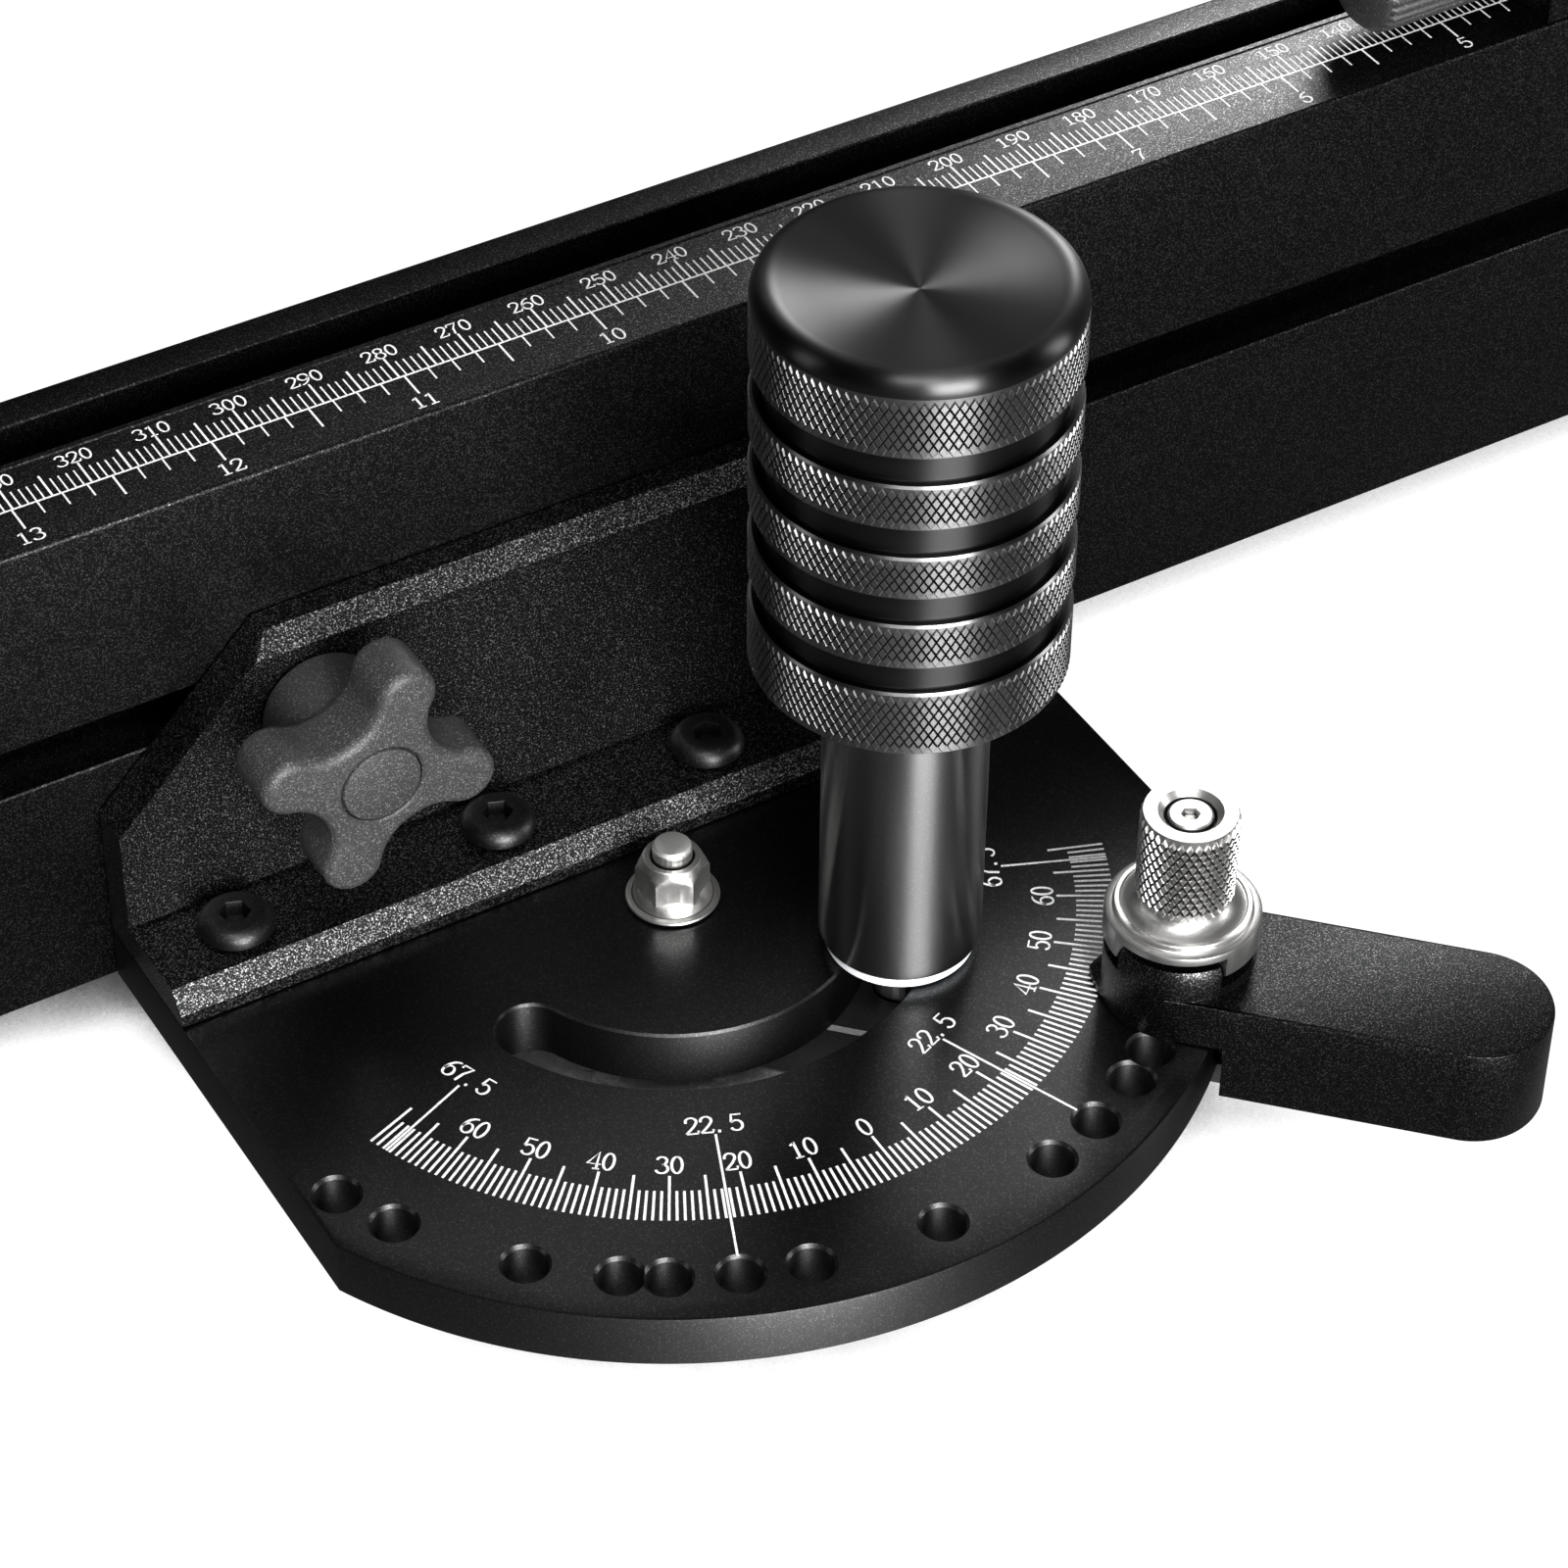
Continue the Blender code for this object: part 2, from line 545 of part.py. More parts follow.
prism(bm, box_outline((inner, shelf_low + wall), (back - wall, shelf_high - wall)), left - 5, right + 5, "X")
prism(bm, box_outline((front + wall, shelf_high), (back - wall, roof)), left - 5, right + 5, "X")
cut(fence, "chambers", bm)

# Bolts whose heads ride in the fence's front slot and whose shanks run into the star knobs.
for side_name, place in (("left", -BOLT_X), ("right", BOLT_X)):
    bm = bmesh.new()
    seat = front + LIP + GAP
    square = []
    for step in range(24):
        angle = 360.0 * step / 24
        square.append(polar(BOLT_HEAD / 2 / cos(radians((angle + 45.0) % 90.0 - 45.0)), angle))
    tip = STAR_FRONT + 5.1
    rings = [(circle(BOLT_R - 0.5, 24), tip), (circle(BOLT_R, 24), tip + 0.5), (circle(BOLT_R, 24), seat)]
    rings += [(square, seat), (square, seat + BOLT_HEAD_THICK)]
    skin(bm, rings, "Y")
    body(f"fence_bolt_{side_name}", bm, ZINC, (place, 0, STAR_Z))


def lobed(inset):
    """The star knob's outline: four round lobes joined by hollow arcs, drawn inward by the inset."""
    reach = LOBE_R + VALLEY_R
    part = LOBE_OUT * cos(radians(45))
    out = part + sqrt(part * part - LOBE_OUT * LOBE_OUT + reach * reach)
    found = []
    for lobe in range(4):
        angle = LOBE_ANGLE + 90.0 * lobe
        tip = polar(LOBE_OUT, angle)
        hollow = polar(out, angle + 45.0)
        toward = degrees(atan2(hollow[1] - tip[1], hollow[0] - tip[0]))
        spread = (toward - angle + 180.0) % 360.0 - 180.0
        found += arc(tip, LOBE_R - inset, angle - spread, angle + spread, 7)
        turn = 2.0 * ((angle + 225.0 - toward) % 360.0 - 180.0)
        found += arc(hollow, VALLEY_R + inset, toward + 180.0, toward + 180.0 + turn, 6)[1:-1]
    return found


def star_ring(radius):
    """A circle with its points at the star outline's own angles."""
    return [polar(radius, degrees(atan2(p[1], p[0]))) for p in lobed(0.0)]


# The star knobs, each with its brass insert and centre cap.
for side_name, place in (("left", -BOLT_X), ("right", BOLT_X)):
    spot = (place, STAR_FRONT, STAR_Z)
    bm = bmesh.new()
    end = STAR_HUB_END - STAR_FRONT
    rings = [(star_ring(CAP_R + FIT), 2.2), (star_ring(CAP_R + FIT), 0.0)]
    rings += [(lobed(1.2), 0.0), (lobed(0.35), 0.35), (lobed(0.0), 1.2)]
    rings += [(lobed(0.0), STAR_THICK - 1.2), (lobed(0.35), STAR_THICK - 0.35), (lobed(1.2), STAR_THICK)]
    rings += [(star_ring(STAR_HUB_R), STAR_THICK), (star_ring(STAR_HUB_R), end)]
    rings += [(star_ring(INSERT_R + FIT), end), (star_ring(INSERT_R + FIT), 4.0)]
    skin(bm, rings, "Y")
    body(f"star_knob_{side_name}", bm, BLACK_PLASTIC, spot)
    bm = bmesh.new()
    sleeve = [(BOLT_R + FIT, 4.3), (INSERT_R, 4.3), (INSERT_R, end), (BOLT_R + FIT, end)]
    lathe(bm, sleeve, 24, "Y", closed=True)
    body(f"star_insert_{side_name}", bm, BRASS, spot)
    bm = bmesh.new()
    lathe(bm, [(CAP_R, 1.9), (CAP_R, 0.3), (CAP_R - 0.3, 0.0)], 32, "Y")
    body(f"star_cap_{side_name}", bm, BLACK_PLASTIC, spot)

# The index arm: a round-ended arm that steps down beside the plate, with the plunger's boss on top.
NEAR_POINTS = 25
SIDE_PLACES = (66.5, 72.0, 80.0, 90.0)
FAR_POINTS = 19


def arm_ring(inset, tip):
    """The arm's outline. The inset starts beyond the boss, and the tip is the pointer's reach."""
    found = []
    for step in range(NEAR_POINTS):
        angle = 90.0 + 180.0 * step / (NEAR_POINTS - 1)
        radius = ARM_HALF
        lean = abs(angle - 180.0)
        if tip and lean < 27.0:
            radius = ARM_HALF + (BOSS_AT - POINTER_AT - ARM_HALF) * (1 - lean / 27.0)
        x, y = polar(radius, angle)
        found.append((BOSS_AT + x, y))
    found += [(place, -ARM_HALF + inset) for place in SIDE_PLACES]
    found += arc((ARM_END_AT, 0), ARM_HALF - inset, -90, 90, FAR_POINTS)
    found += [(place, ARM_HALF - inset) for place in reversed(SIDE_PLACES)]
    return found


def boss_ring(radius):
    found = arc((BOSS_AT, 0), radius, 90, 270, NEAR_POINTS)
    rest = FAR_POINTS + 2 * len(SIDE_PLACES)
    found += arc((BOSS_AT, 0), radius, -90, 90, rest + 2)[1:-1]
    return found


bm = bmesh.new()
arm_low = PLATE_TOP - PLATE_THICK
arm_top = PLATE_TOP + ARM_TOP
rings = [(arm_ring(0.4, True), arm_low), (arm_ring(0.0, True), arm_low + 0.4)]
rings += [(arm_ring(0.0, True), PLATE_TOP + 1.2), (arm_ring(0.0, False), PLATE_TOP + 1.9)]
rings += [(arm_ring(0.0, False), arm_top - 0.5), (arm_ring(0.5, False), arm_top)]
rings += [(boss_ring(ARM_HALF), arm_top), (boss_ring(ARM_HALF), PLATE_TOP + LUG_TOP - 0.8)]
rings += [(boss_ring(ARM_HALF - 0.5), PLATE_TOP + LUG_TOP)]
rings += [(boss_ring(NECK_R), PLATE_TOP + LUG_TOP), (boss_ring(NECK_R), PLATE_TOP + NECK_TOP)]
skin(bm, rings)
arm = body("index_arm", bm, BLACK_BLASTED, turn=BAR_TURN)
bm = bmesh.new()
under = box_outline((POINTER_AT - 5, -ARM_HALF - 3), (ARM_STEP_AT, ARM_HALF + 3))
prism(bm, under, arm_low - 3, PLATE_TOP + GAP)
cut(arm, "step", bm)
bm = bmesh.new()
lip_low = PLATE_TOP + NECK_TOP - 1.2
bore = [(4.8, PLATE_TOP - 1), (4.8, PLATE_TOP + 2.6), (CHAMBER_R, PLATE_TOP + 2.6), (CHAMBER_R, lip_low)]
bore += [(STEM_R + FIT, lip_low), (STEM_R + FIT, PLATE_TOP + NECK_TOP + 1)]
lathe(bm, bore, at=(BOSS_AT, 0, 0))
for middle in (0.0, 180.0):
    outline = sector(CORE_R, ARM_HALF + 3, middle, 94.0)
    prism(bm, outline, PLATE_TOP + NOTCH_FLOOR, PLATE_TOP + LUG_TOP + 2, at=(BOSS_AT, 0, 0))
for place in ARM_SCREWS:
    lathe(bm, [(ARM_SCREW_R + FIT, arm_low - 1), (ARM_SCREW_R + FIT, arm_low + 9)], at=(place, 0, 0))
cut(arm, "holes", bm)

# Countersunk screws through the bar's tongue into the arm.
for number, place in enumerate(ARM_SCREWS, 1):
    bm = bmesh.new()
    low = SINK_LOW + GAP
    rings = [(hexagon(2.0, 24), low + 1.2), (hexagon(2.0, 24), low), (circle(ARM_SCREW_HEAD_R, 24), low)]
    rings += [(circle(ARM_SCREW_R, 24), low + 1.3), (circle(ARM_SCREW_R, 24), arm_low + 8)]
    rings += [(circle(ARM_SCREW_R - 0.4, 24), arm_low + 8.4)]
    skin(bm, rings)
    x, y = polar(place, BAR_TURN)
    body(f"arm_screw_{number}", bm, BLACK_OXIDE, (x, y, 0))

# The plunger: knurled knob with a flanged collar, pin, screw, guide bush and spring.
PIN_XY = polar(BOSS_AT, BAR_TURN)
spot = (*PIN_XY, 0)
bm = bmesh.new()
h = PLATE_TOP
ceiling = h + WINDOW_TOP + 0.4
crown = h + KNOB_TOP
seat_z = h + 19.0
rim_top = h + WINDOW_TOP + 1.1
outer = [(COLLAR_R - 0.2, h + TAB_LOW), (COLLAR_R, h + TAB_LOW + 0.2), (COLLAR_R, rim_top - 0.25)]
outer += [(COLLAR_R - 0.25, rim_top), (8.4, rim_top + 0.9), (7.75, rim_top + 0.85), (7.3, rim_top + 0.95)]
outer += [(6.3, rim_top + 1.3), (5.6, rim_top + 1.75), (5.4, rim_top + 2.15), (KNOB_R, rim_top + 2.6)]
outer += [(KNOB_R, crown - 0.35), (KNOB_R - 0.35, crown), (3.9, crown), (3.2, crown - 0.7)]
outer += [(3.2, crown - 2.2), (1.8, crown - 2.2), (1.8, seat_z), (NECK_R + FIT, seat_z)]
outer += [(NECK_R + FIT, ceiling), (CORE_R + FIT, ceiling), (CORE_R + FIT, h + TAB_LOW)]
lathe(bm, outer, 36, closed=True)
knob = body("plunger_knob", bm, STEEL, spot, BAR_TURN)
bm = bmesh.new()
for middle in (90.0, 270.0):
    prism(bm, sector(CORE_R - 1, COLLAR_R + 3, middle, 90.0), h + TAB_LOW - 2, h + WINDOW_TOP)
cut(knob, "windows", bm)
bm = bmesh.new()
stem_top = seat_z - GAP
pin = [(0.0, h + PIN_TIP), (PIN_R - 0.4, h + PIN_TIP), (PIN_R, h + PIN_TIP + 0.4), (PIN_R, h + 4.3)]
pin += [(CHAMBER_R - FIT, h + 4.3), (CHAMBER_R - FIT, h + 5.3), (STEM_R, h + 5.3), (STEM_R, stem_top)]
pin += [(1.8, stem_top), (1.8, stem_top - 5.0), (0.0, stem_top - 5.0)]
lathe(bm, pin)
body("plunger_pin", bm, STEEL, spot)
bm = bmesh.new()
seat = crown - 1.9
rings = [(circle(1.1, 24), stem_top - 4.5), (circle(1.5, 24), stem_top - 4.1), (circle(1.5, 24), seat)]
rings += [(circle(2.8, 24), seat), (circle(2.8, 24), seat + 1.1), (circle(2.5, 24), seat + 1.4)]
rings += [(hexagon(2.0, 24), seat + 1.4), (hexagon(2.0, 24), seat + 0.4)]
skin(bm, rings)
body("plunger_screw", bm, STEEL, spot)
bm = bmesh.new()
sleeve = [(PIN_R + FIT, h + GAP), (4.5, h + GAP), (4.5, h + 2.3), (PIN_R + FIT, h + 2.3)]
lathe(bm, sleeve, closed=True)
body("plunger_bush", bm, BRASS, spot)
bm = bmesh.new()
coil = (STEM_R + CHAMBER_R) / 2
start = h + 5.3 + GAP + WIRE_R
end = lip_low - GAP - WIRE_R
steps = SPRING_TURNS * 14
rings = []
for step in range(steps + 1):
    share = step / steps
    angle = 2 * pi * SPRING_TURNS * share
    centre = Vector((coil * cos(angle), coil * sin(angle), start + (end - start) * share))
    ahead = Vector((-sin(angle), cos(angle), (end - start) / (2 * pi * SPRING_TURNS * coil))).normalized()
    out = Vector((cos(angle), sin(angle), 0.0))
    up = ahead.cross(out)
    row = []
    for k in range(6):
        turn = 2 * pi * k / 6
        row.append(bm.verts.new(centre + out * (WIRE_R * cos(turn)) + up * (WIRE_R * sin(turn))))
    rings.append(row)
for low_row, high_row in zip(rings, rings[1:]):
    for k in range(6):
        n = (k + 1) % 6
        bm.faces.new((low_row[k], low_row[n], high_row[n], high_row[k]))
bm.faces.new(rings[0])
bm.faces.new(rings[-1])
body("plunger_spring", bm, SPRING_STEEL, spot)

# The flip stop's body: a block on the fence with a window over the scale and two hinge ears.
bm = bmesh.new()
stop_low = FENCE_TOP + GAP
stop_top = stop_low + STOP_HIGH
stop_right = STOP_LEFT + STOP_LONG
middle_x = STOP_LEFT + STOP_LONG / 2
rear = FLIP_Y + FLIP_BARREL_R
section = [(FENCE_FRONT, stop_low), (rear, stop_low), (rear, FLIP_Z)]
section += arc((FLIP_Y, FLIP_Z), FLIP_BARREL_R, 0, 90, 9)[1:]
section += [(FENCE_FRONT, stop_top)]
prism(bm, section, STOP_LEFT, stop_right, "X")
stop = body("stop_body", bm, BLACK_ANODISED)
soften(stop, 0.5, 50.0, 1)
bm = bmesh.new()
gate = box_outline((STOP_LEFT + EAR_THICK, FENCE_BACK - 0.3), (stop_right - EAR_THICK, rear + 5))
prism(bm, gate, stop_low - 5, stop_top + 5)
window = box_outline((middle_x - 8, FENCE_FRONT + 2.5), (middle_x + 8, FENCE_FRONT + 13.5))
prism(bm, window, stop_low - 5, stop_top + 5)
lathe(bm, [(STOP_BOLT_R + FIT, stop_low - 5), (STOP_BOLT_R + FIT, stop_top + 5)], at=(middle_x, TOP_SLOT_Y, 0))
cut(stop, "openings", bm)
bm = bmesh.new()
lathe(bm, [(FLIP_PIN_R + FIT, STOP_LEFT - 3), (FLIP_PIN_R + FIT, stop_right + 3)], 24, "X", (0, FLIP_Y, FLIP_Z))
side_hole = [(2.8, STOP_LEFT - 3), (2.8, STOP_LEFT + 6.5)]
lathe(bm, side_hole, 24, "X", (0, SIDE_KNOB_Y, SIDE_KNOB_Z))
cut(stop, "bores", bm)

# The cursor window over the scale, a clear pane set in the stop's opening.
bm = bmesh.new()
pane = box_outline((middle_x - 8 + GAP, FENCE_FRONT + 2.5 + GAP), (middle_x + 8 - GAP, FENCE_FRONT + 13.5 - GAP))
prism(bm, pane, stop_low, stop_low + 3.0)
body("cursor_window", bm, CLEAR)

# The stop's clamping bolt in the fence's top slot, and its thumb nut.
bm = bmesh.new()
head_top = FENCE_TOP - LIP - GAP
square = []
for step in range(24):
    angle = 360.0 * step / 24
    square.append(polar(STOP_BOLT_HEAD / 2 / cos(radians((angle + 45.0) % 90.0 - 45.0)), angle))
rings = [(square, head_top - 3.2), (square, head_top), (circle(STOP_BOLT_R, 24), head_top)]
rings += [(circle(STOP_BOLT_R, 24), stop_top + 9.5), (circle(STOP_BOLT_R - 0.5, 24), stop_top + 10.0)]
skin(bm, rings)
body("stop_bolt", bm, ZINC, (middle_x, TOP_SLOT_Y, 0))


def ribbed(radius, depth, ribs, count):
    """A knob outline with even ribs."""
    found = []
    for step in range(count):
        angle = 360.0 * step / count
        found.append(polar(radius - depth * (0.5 - 0.5 * cos(radians(angle * ribs))), angle))
    return found


RIBS = 18
FINE = RIBS * 4
bm = bmesh.new()
low = stop_top + GAP
high = low + STOP_KNOB_HIGH
rings = [(circle(STOP_BOLT_R + FIT, FINE), low + 11.5), (circle(STOP_BOLT_R + FIT, FINE), low)]
rings += [(circle(6.0, FINE), low), (circle(6.0, FINE), low + 3.0), (circle(STOP_KNOB_R - 0.9, FINE), low + 3.0)]
rings += [(ribbed(STOP_KNOB_R, 0.5, RIBS, FINE), low + 3.7), (ribbed(STOP_KNOB_R, 0.5, RIBS, FINE), high - 1.0)]
rings += [(circle(STOP_KNOB_R - 1.0, FINE), high - 0.3), (circle(STOP_KNOB_R - 2.0, FINE), high)]
rings += [(circle(0.0, FINE), high)]
skin(bm, rings)
body("stop_knob", bm, BLACK_PLASTIC, (middle_x, TOP_SLOT_Y, 0))

# The side thumbscrew, its ribbed head left of the stop's body.
bm = bmesh.new()
left = SIDE_KNOB_LEFT
right = SIDE_KNOB_RIGHT
rings = [(circle(0.0, FINE), left), (circle(SIDE_KNOB_R - 2.0, FINE), left)]
rings += [(circle(SIDE_KNOB_R - 0.9, FINE), left + 0.35), (ribbed(SIDE_KNOB_R, 0.45, RIBS, FINE), left + 1.1)]
rings += [(ribbed(SIDE_KNOB_R, 0.45, RIBS, FINE), right - 0.6), (circle(SIDE_KNOB_R - 0.9, FINE), right)]
rings += [(circle(2.5, FINE), right), (circle(2.5, FINE), STOP_LEFT + 5.8), (circle(2.1, FINE), STOP_LEFT + 6.2)]
skin(bm, rings, "X")
body("side_thumbscrew", bm, BLACK_PLASTIC, (0, SIDE_KNOB_Y, SIDE_KNOB_Z))

# The flip arm: a plate that hangs from its hinge against the fence's back face.
bm = bmesh.new()
inner = FENCE_BACK + 0.4 - FLIP_Y
outer_y = inner + FLIP_THICK
drop = FLIP_LOW - FLIP_Z
lower = degrees(asin(outer_y / FLIP_BARREL_R))
section = arc((0, 0), FLIP_BARREL_R, -90 + lower, 180, 17)
section += [(inner, -4.0), (inner, drop + 1.0), (inner + 1.0, drop), (outer_y - 1.0, drop), (outer_y, drop + 1.0)]
arm_left = STOP_LEFT + EAR_THICK + GAP
arm_right = stop_right - EAR_THICK - GAP
prism(bm, section, arm_left, arm_right, "X")
flip = body("flip_arm", bm, BLACK_ANODISED, (0, FLIP_Y, FLIP_Z))
bm = bmesh.new()
lathe(bm, [(FLIP_PIN_R + FIT, arm_left - 3), (FLIP_PIN_R + FIT, arm_right + 3)], 24, "X")
cut(flip, "bore", bm)
bm = bmesh.new()
pin = [(FLIP_PIN_R - 0.3, STOP_LEFT + 0.2), (FLIP_PIN_R, STOP_LEFT + 0.5), (FLIP_PIN_R, stop_right - 0.5)]
lathe(bm, pin + [(FLIP_PIN_R - 0.3, stop_right - 0.2)], 24, "X")
body("flip_pin", bm, STEEL, (0, FLIP_Y, FLIP_Z))
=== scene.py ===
from math import asin, atan2, cos, degrees, hypot, pi, radians, sin, sqrt

import bmesh
import bpy
from mathutils import Matrix, Vector


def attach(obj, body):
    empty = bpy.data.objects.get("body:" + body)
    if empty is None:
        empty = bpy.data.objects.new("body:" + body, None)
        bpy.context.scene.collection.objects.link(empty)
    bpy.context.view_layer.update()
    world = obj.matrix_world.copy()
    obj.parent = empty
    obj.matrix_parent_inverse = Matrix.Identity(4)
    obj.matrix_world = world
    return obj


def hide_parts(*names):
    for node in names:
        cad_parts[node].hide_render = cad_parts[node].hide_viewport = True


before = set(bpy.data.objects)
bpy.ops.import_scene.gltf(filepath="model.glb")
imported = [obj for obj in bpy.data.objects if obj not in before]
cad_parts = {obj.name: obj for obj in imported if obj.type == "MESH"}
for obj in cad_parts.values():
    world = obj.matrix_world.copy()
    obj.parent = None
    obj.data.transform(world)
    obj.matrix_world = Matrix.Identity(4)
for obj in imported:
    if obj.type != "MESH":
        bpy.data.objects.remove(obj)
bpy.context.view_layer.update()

# The studio: the camera stands at the photograph's angle, over a white table. It glows white to the camera, and
# a painted shadow from ambient occlusion dims the glow near the object and blacks it out beneath; its matt grey
# keeps a faint real shadow.
# Soft lamps stand round it, and the smallest, behind on the right, lights the fence's top.
scene = bpy.context.scene
scene.view_settings.view_transform = "Standard"
lens = bpy.data.cameras.new("camera")
camera = bpy.data.objects.new("camera", lens)
scene.collection.objects.link(camera)
camera.location = (-0.215566, -0.387071, 0.435853)
camera.rotation_euler = (radians(47.94668), radians(-0.40191), radians(-30.51922))
lens.sensor_width = 36.0
lens.lens = 112.82
lens.clip_start = 0.02
scene.camera = camera


def lamp(name, spot, toward, size, power, tall=None):
    """A rectangular soft lamp at a spot, in metres, facing a point."""
    data = bpy.data.lights.new(name, "AREA")
    data.shape = "RECTANGLE"
    data.size = size
    data.size_y = tall or size
    data.energy = power
    made = bpy.data.objects.new(name, data)
    made.location = spot
    aim = Vector(toward) - Vector(spot)
    made.rotation_euler = aim.to_track_quat("-Z", "Y").to_euler()
    scene.collection.objects.link(made)


lamp("lamp_front", (-0.13, -0.95, 0.36), (0, 0, 0.03), 0.45, 32.0, 0.8)
lamp("lamp_right", (0.95, -0.42, 0.3), (0, 0, 0.05), 0.22, 4.0, 0.8)
lamp("lamp_left", (-0.96, 0.28, 0.4), (0, 0, 0.05), 0.25, 1.0, 0.8)
lamp("lamp_back_right", (0.43, 0.36, 0.35), (0.15, 0.04, 0.08), 0.16, 1.9, 0.22)
lamp("lamp_back_high", (0.5, 0.75, 1.25), (0, 0, 0.03), 0.7, 1.0)
lamp("lamp_top_front", (-0.35, -0.6, 1.35), (0, 0, 0.03), 0.5, 10.0)

def add_node(tree, kind, sockets=None, **settings):
    """A node with its settings. Each socket takes a value, or the output that feeds it."""
    made = tree.nodes.new(kind)
    for key, value in settings.items():
        setattr(made, key, value)
    for key, value in (sockets or {}).items():
        if isinstance(value, bpy.types.NodeSocket):
            tree.links.new(value, made.inputs[key])
        else:
            made.inputs[key].default_value = value
    return made


WHITE = (1, 1, 1, 1)
world = bpy.data.worlds.new("studio")
scene.world = world
world.use_nodes = True
tree = world.node_tree
tree.nodes.clear()
seen = add_node(tree, "ShaderNodeLightPath").outputs["Is Camera Ray"]
room = add_node(tree, "ShaderNodeBackground", {"Color": WHITE, "Strength": 0.025})
white = add_node(tree, "ShaderNodeBackground", {"Color": WHITE, "Strength": 1.0})
choose = add_node(tree, "ShaderNodeMixShader", {0: seen, 1: room.outputs[0], 2: white.outputs[0]})
add_node(tree, "ShaderNodeOutputWorld", {0: choose.outputs[0]})

bm = bmesh.new()
bmesh.ops.create_grid(bm, x_segments=1, y_segments=1, size=3.0)
table_mesh = bpy.data.meshes.new("table_top")
bm.to_mesh(table_mesh)
bm.free()
table = bpy.data.objects.new("table_top", table_mesh)
table.location = (0, 0, -0.0002)
scene.collection.objects.link(table)
paper = bpy.data.materials.new("white_table")
paper.use_nodes = True
tree = paper.node_tree
tree.nodes.clear()
seen = add_node(tree, "ShaderNodeLightPath").outputs["Is Camera Ray"]
matt = add_node(tree, "ShaderNodeBsdfDiffuse", {"Color": (0.1, 0.1, 0.1, 1)})
# Painted shadow: ambient occlusion turns the table's camera-only glow down near the object and off under it.
open_sky = add_node(tree, "ShaderNodeAmbientOcclusion", {"Distance": 0.03}, samples=16)
limits = {"Value": open_sky.outputs["AO"], "From Min": 0.15, "From Max": 0.28}
painted_floor_shadow = add_node(tree, "ShaderNodeMapRange", limits, interpolation_type="SMOOTHSTEP")
glow = add_node(tree, "ShaderNodeEmission", {"Color": WHITE, "Strength": painted_floor_shadow.outputs["Result"]})
both = add_node(tree, "ShaderNodeAddShader", {0: matt.outputs[0], 1: glow.outputs[0]})
choose = add_node(tree, "ShaderNodeMixShader", {0: seen, 1: matt.outputs[0], 2: both.outputs[0]})
add_node(tree, "ShaderNodeOutputMaterial", {0: choose.outputs[0]})
table.data.materials.append(paper)

# The fence: a hollow aluminium extrusion, blasted and anodised black, 600 mm long.
# One slot in its front takes the bracket's bolts and one in its top takes the flip stop.
MM = 0.001


def polar(radius, angle):
    return (radius * cos(radians(angle)), radius * sin(radians(angle)))


def arc(centre, radius, start, end, count):
    """Points on an arc, both ends included."""
    turn = (end - start) / (count - 1)
    found = []
    for step in range(count):
        x, y = polar(radius, start + turn * step)
        found.append((centre[0] + x, centre[1] + y))
    return found


AXES = {
    "X": Matrix(((0, 0, 1), (1, 0, 0), (0, 1, 0))),
    "Y": Matrix(((1, 0, 0), (0, 0, 1), (0, 1, 0))),
    "Z": Matrix.Identity(3),
}


def skin(bm, rings, axis="Z", at=(0, 0, 0), closed=False):
    """A body through rings of (outline, height), with end caps unless the last ring meets the first."""
    turn = AXES[axis]
    rows = []
    for outline, height in rings:
        rows.append([bm.verts.new(turn @ Vector((p[0], p[1], height)) + Vector(at)) for p in outline])
    pairs = list(zip(rows, rows[1:]))
    if closed:
        pairs.append((rows[-1], rows[0]))
    for low, high in pairs:
        for i in range(len(low)):
            j = (i + 1) % len(low)
            bm.faces.new((low[i], low[j], high[j], high[i]))
    if not closed:
        bm.faces.new(rows[0][::-1])
        bm.faces.new(rows[-1])


def prism(bm, outline, low, high, axis="Z", at=(0, 0, 0)):
    skin(bm, [(outline, low), (outline, high)], axis, at)


def solid(name, bm, at=(0, 0, 0), turn=0.0):
    """An object at the origin from a bmesh drawn in millimetres about its own axis."""
    bmesh.ops.remove_doubles(bm, verts=bm.verts, dist=0.0001)
    bmesh.ops.recalc_face_normals(bm, faces=bm.faces)
    place = Matrix.Scale(MM, 4) @ Matrix.Translation(at) @ Matrix.Rotation(radians(turn), 4, "Z")
    bmesh.ops.transform(bm, matrix=place, verts=bm.verts)
    mesh = bpy.data.meshes.new(name)
    bm.to_mesh(mesh)
    bm.free()
    made = bpy.data.objects.new(name, mesh)
    scene.collection.objects.link(made)
    return made


def carve(target, bm, at=(0, 0, 0), turn=0.0):
    """Cuts a shape out of a piece for good."""
    tool = solid("tool", bm, at, turn)
    cut = target.modifiers.new("cut", "BOOLEAN")
    cut.operation = "DIFFERENCE"
    cut.solver = "EXACT"
    cut.object = tool
    graph = bpy.context.evaluated_depsgraph_get()
    mesh = bpy.data.meshes.new_from_object(target.evaluated_get(graph), depsgraph=graph)
    target.modifiers.clear()
    target.data = mesh
    bpy.data.objects.remove(tool, do_unlink=True)


def dress(piece, material, body, nodes=(), edge=0.0, angle=32.0):
    """Shades a finished piece, rounds its sharp edges, ties it to its body and hides the CAD nodes it stands in
    for.
    """
    piece.data.shade_smooth()
    piece.data.set_sharp_from_angle(angle=radians(angle))
    if edge:
        bevel = piece.modifiers.new("edge", "BEVEL")
        bevel.width = edge * MM
        bevel.segments = 2
        bevel.limit_method = "ANGLE"
        bevel.angle_limit = radians(angle)
        bevel.use_clamp_overlap = True
        bevel.harden_normals = False
    piece.data.materials.clear()
    piece.data.materials.append(material)
    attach(piece, body)
    if nodes:
        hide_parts(*nodes)


def reckon(tree, operation, *values):
    """The result of a math node on values, or on the outputs that feed it."""
    return add_node(tree, "ShaderNodeMath", dict(enumerate(values)), operation=operation).outputs[0]


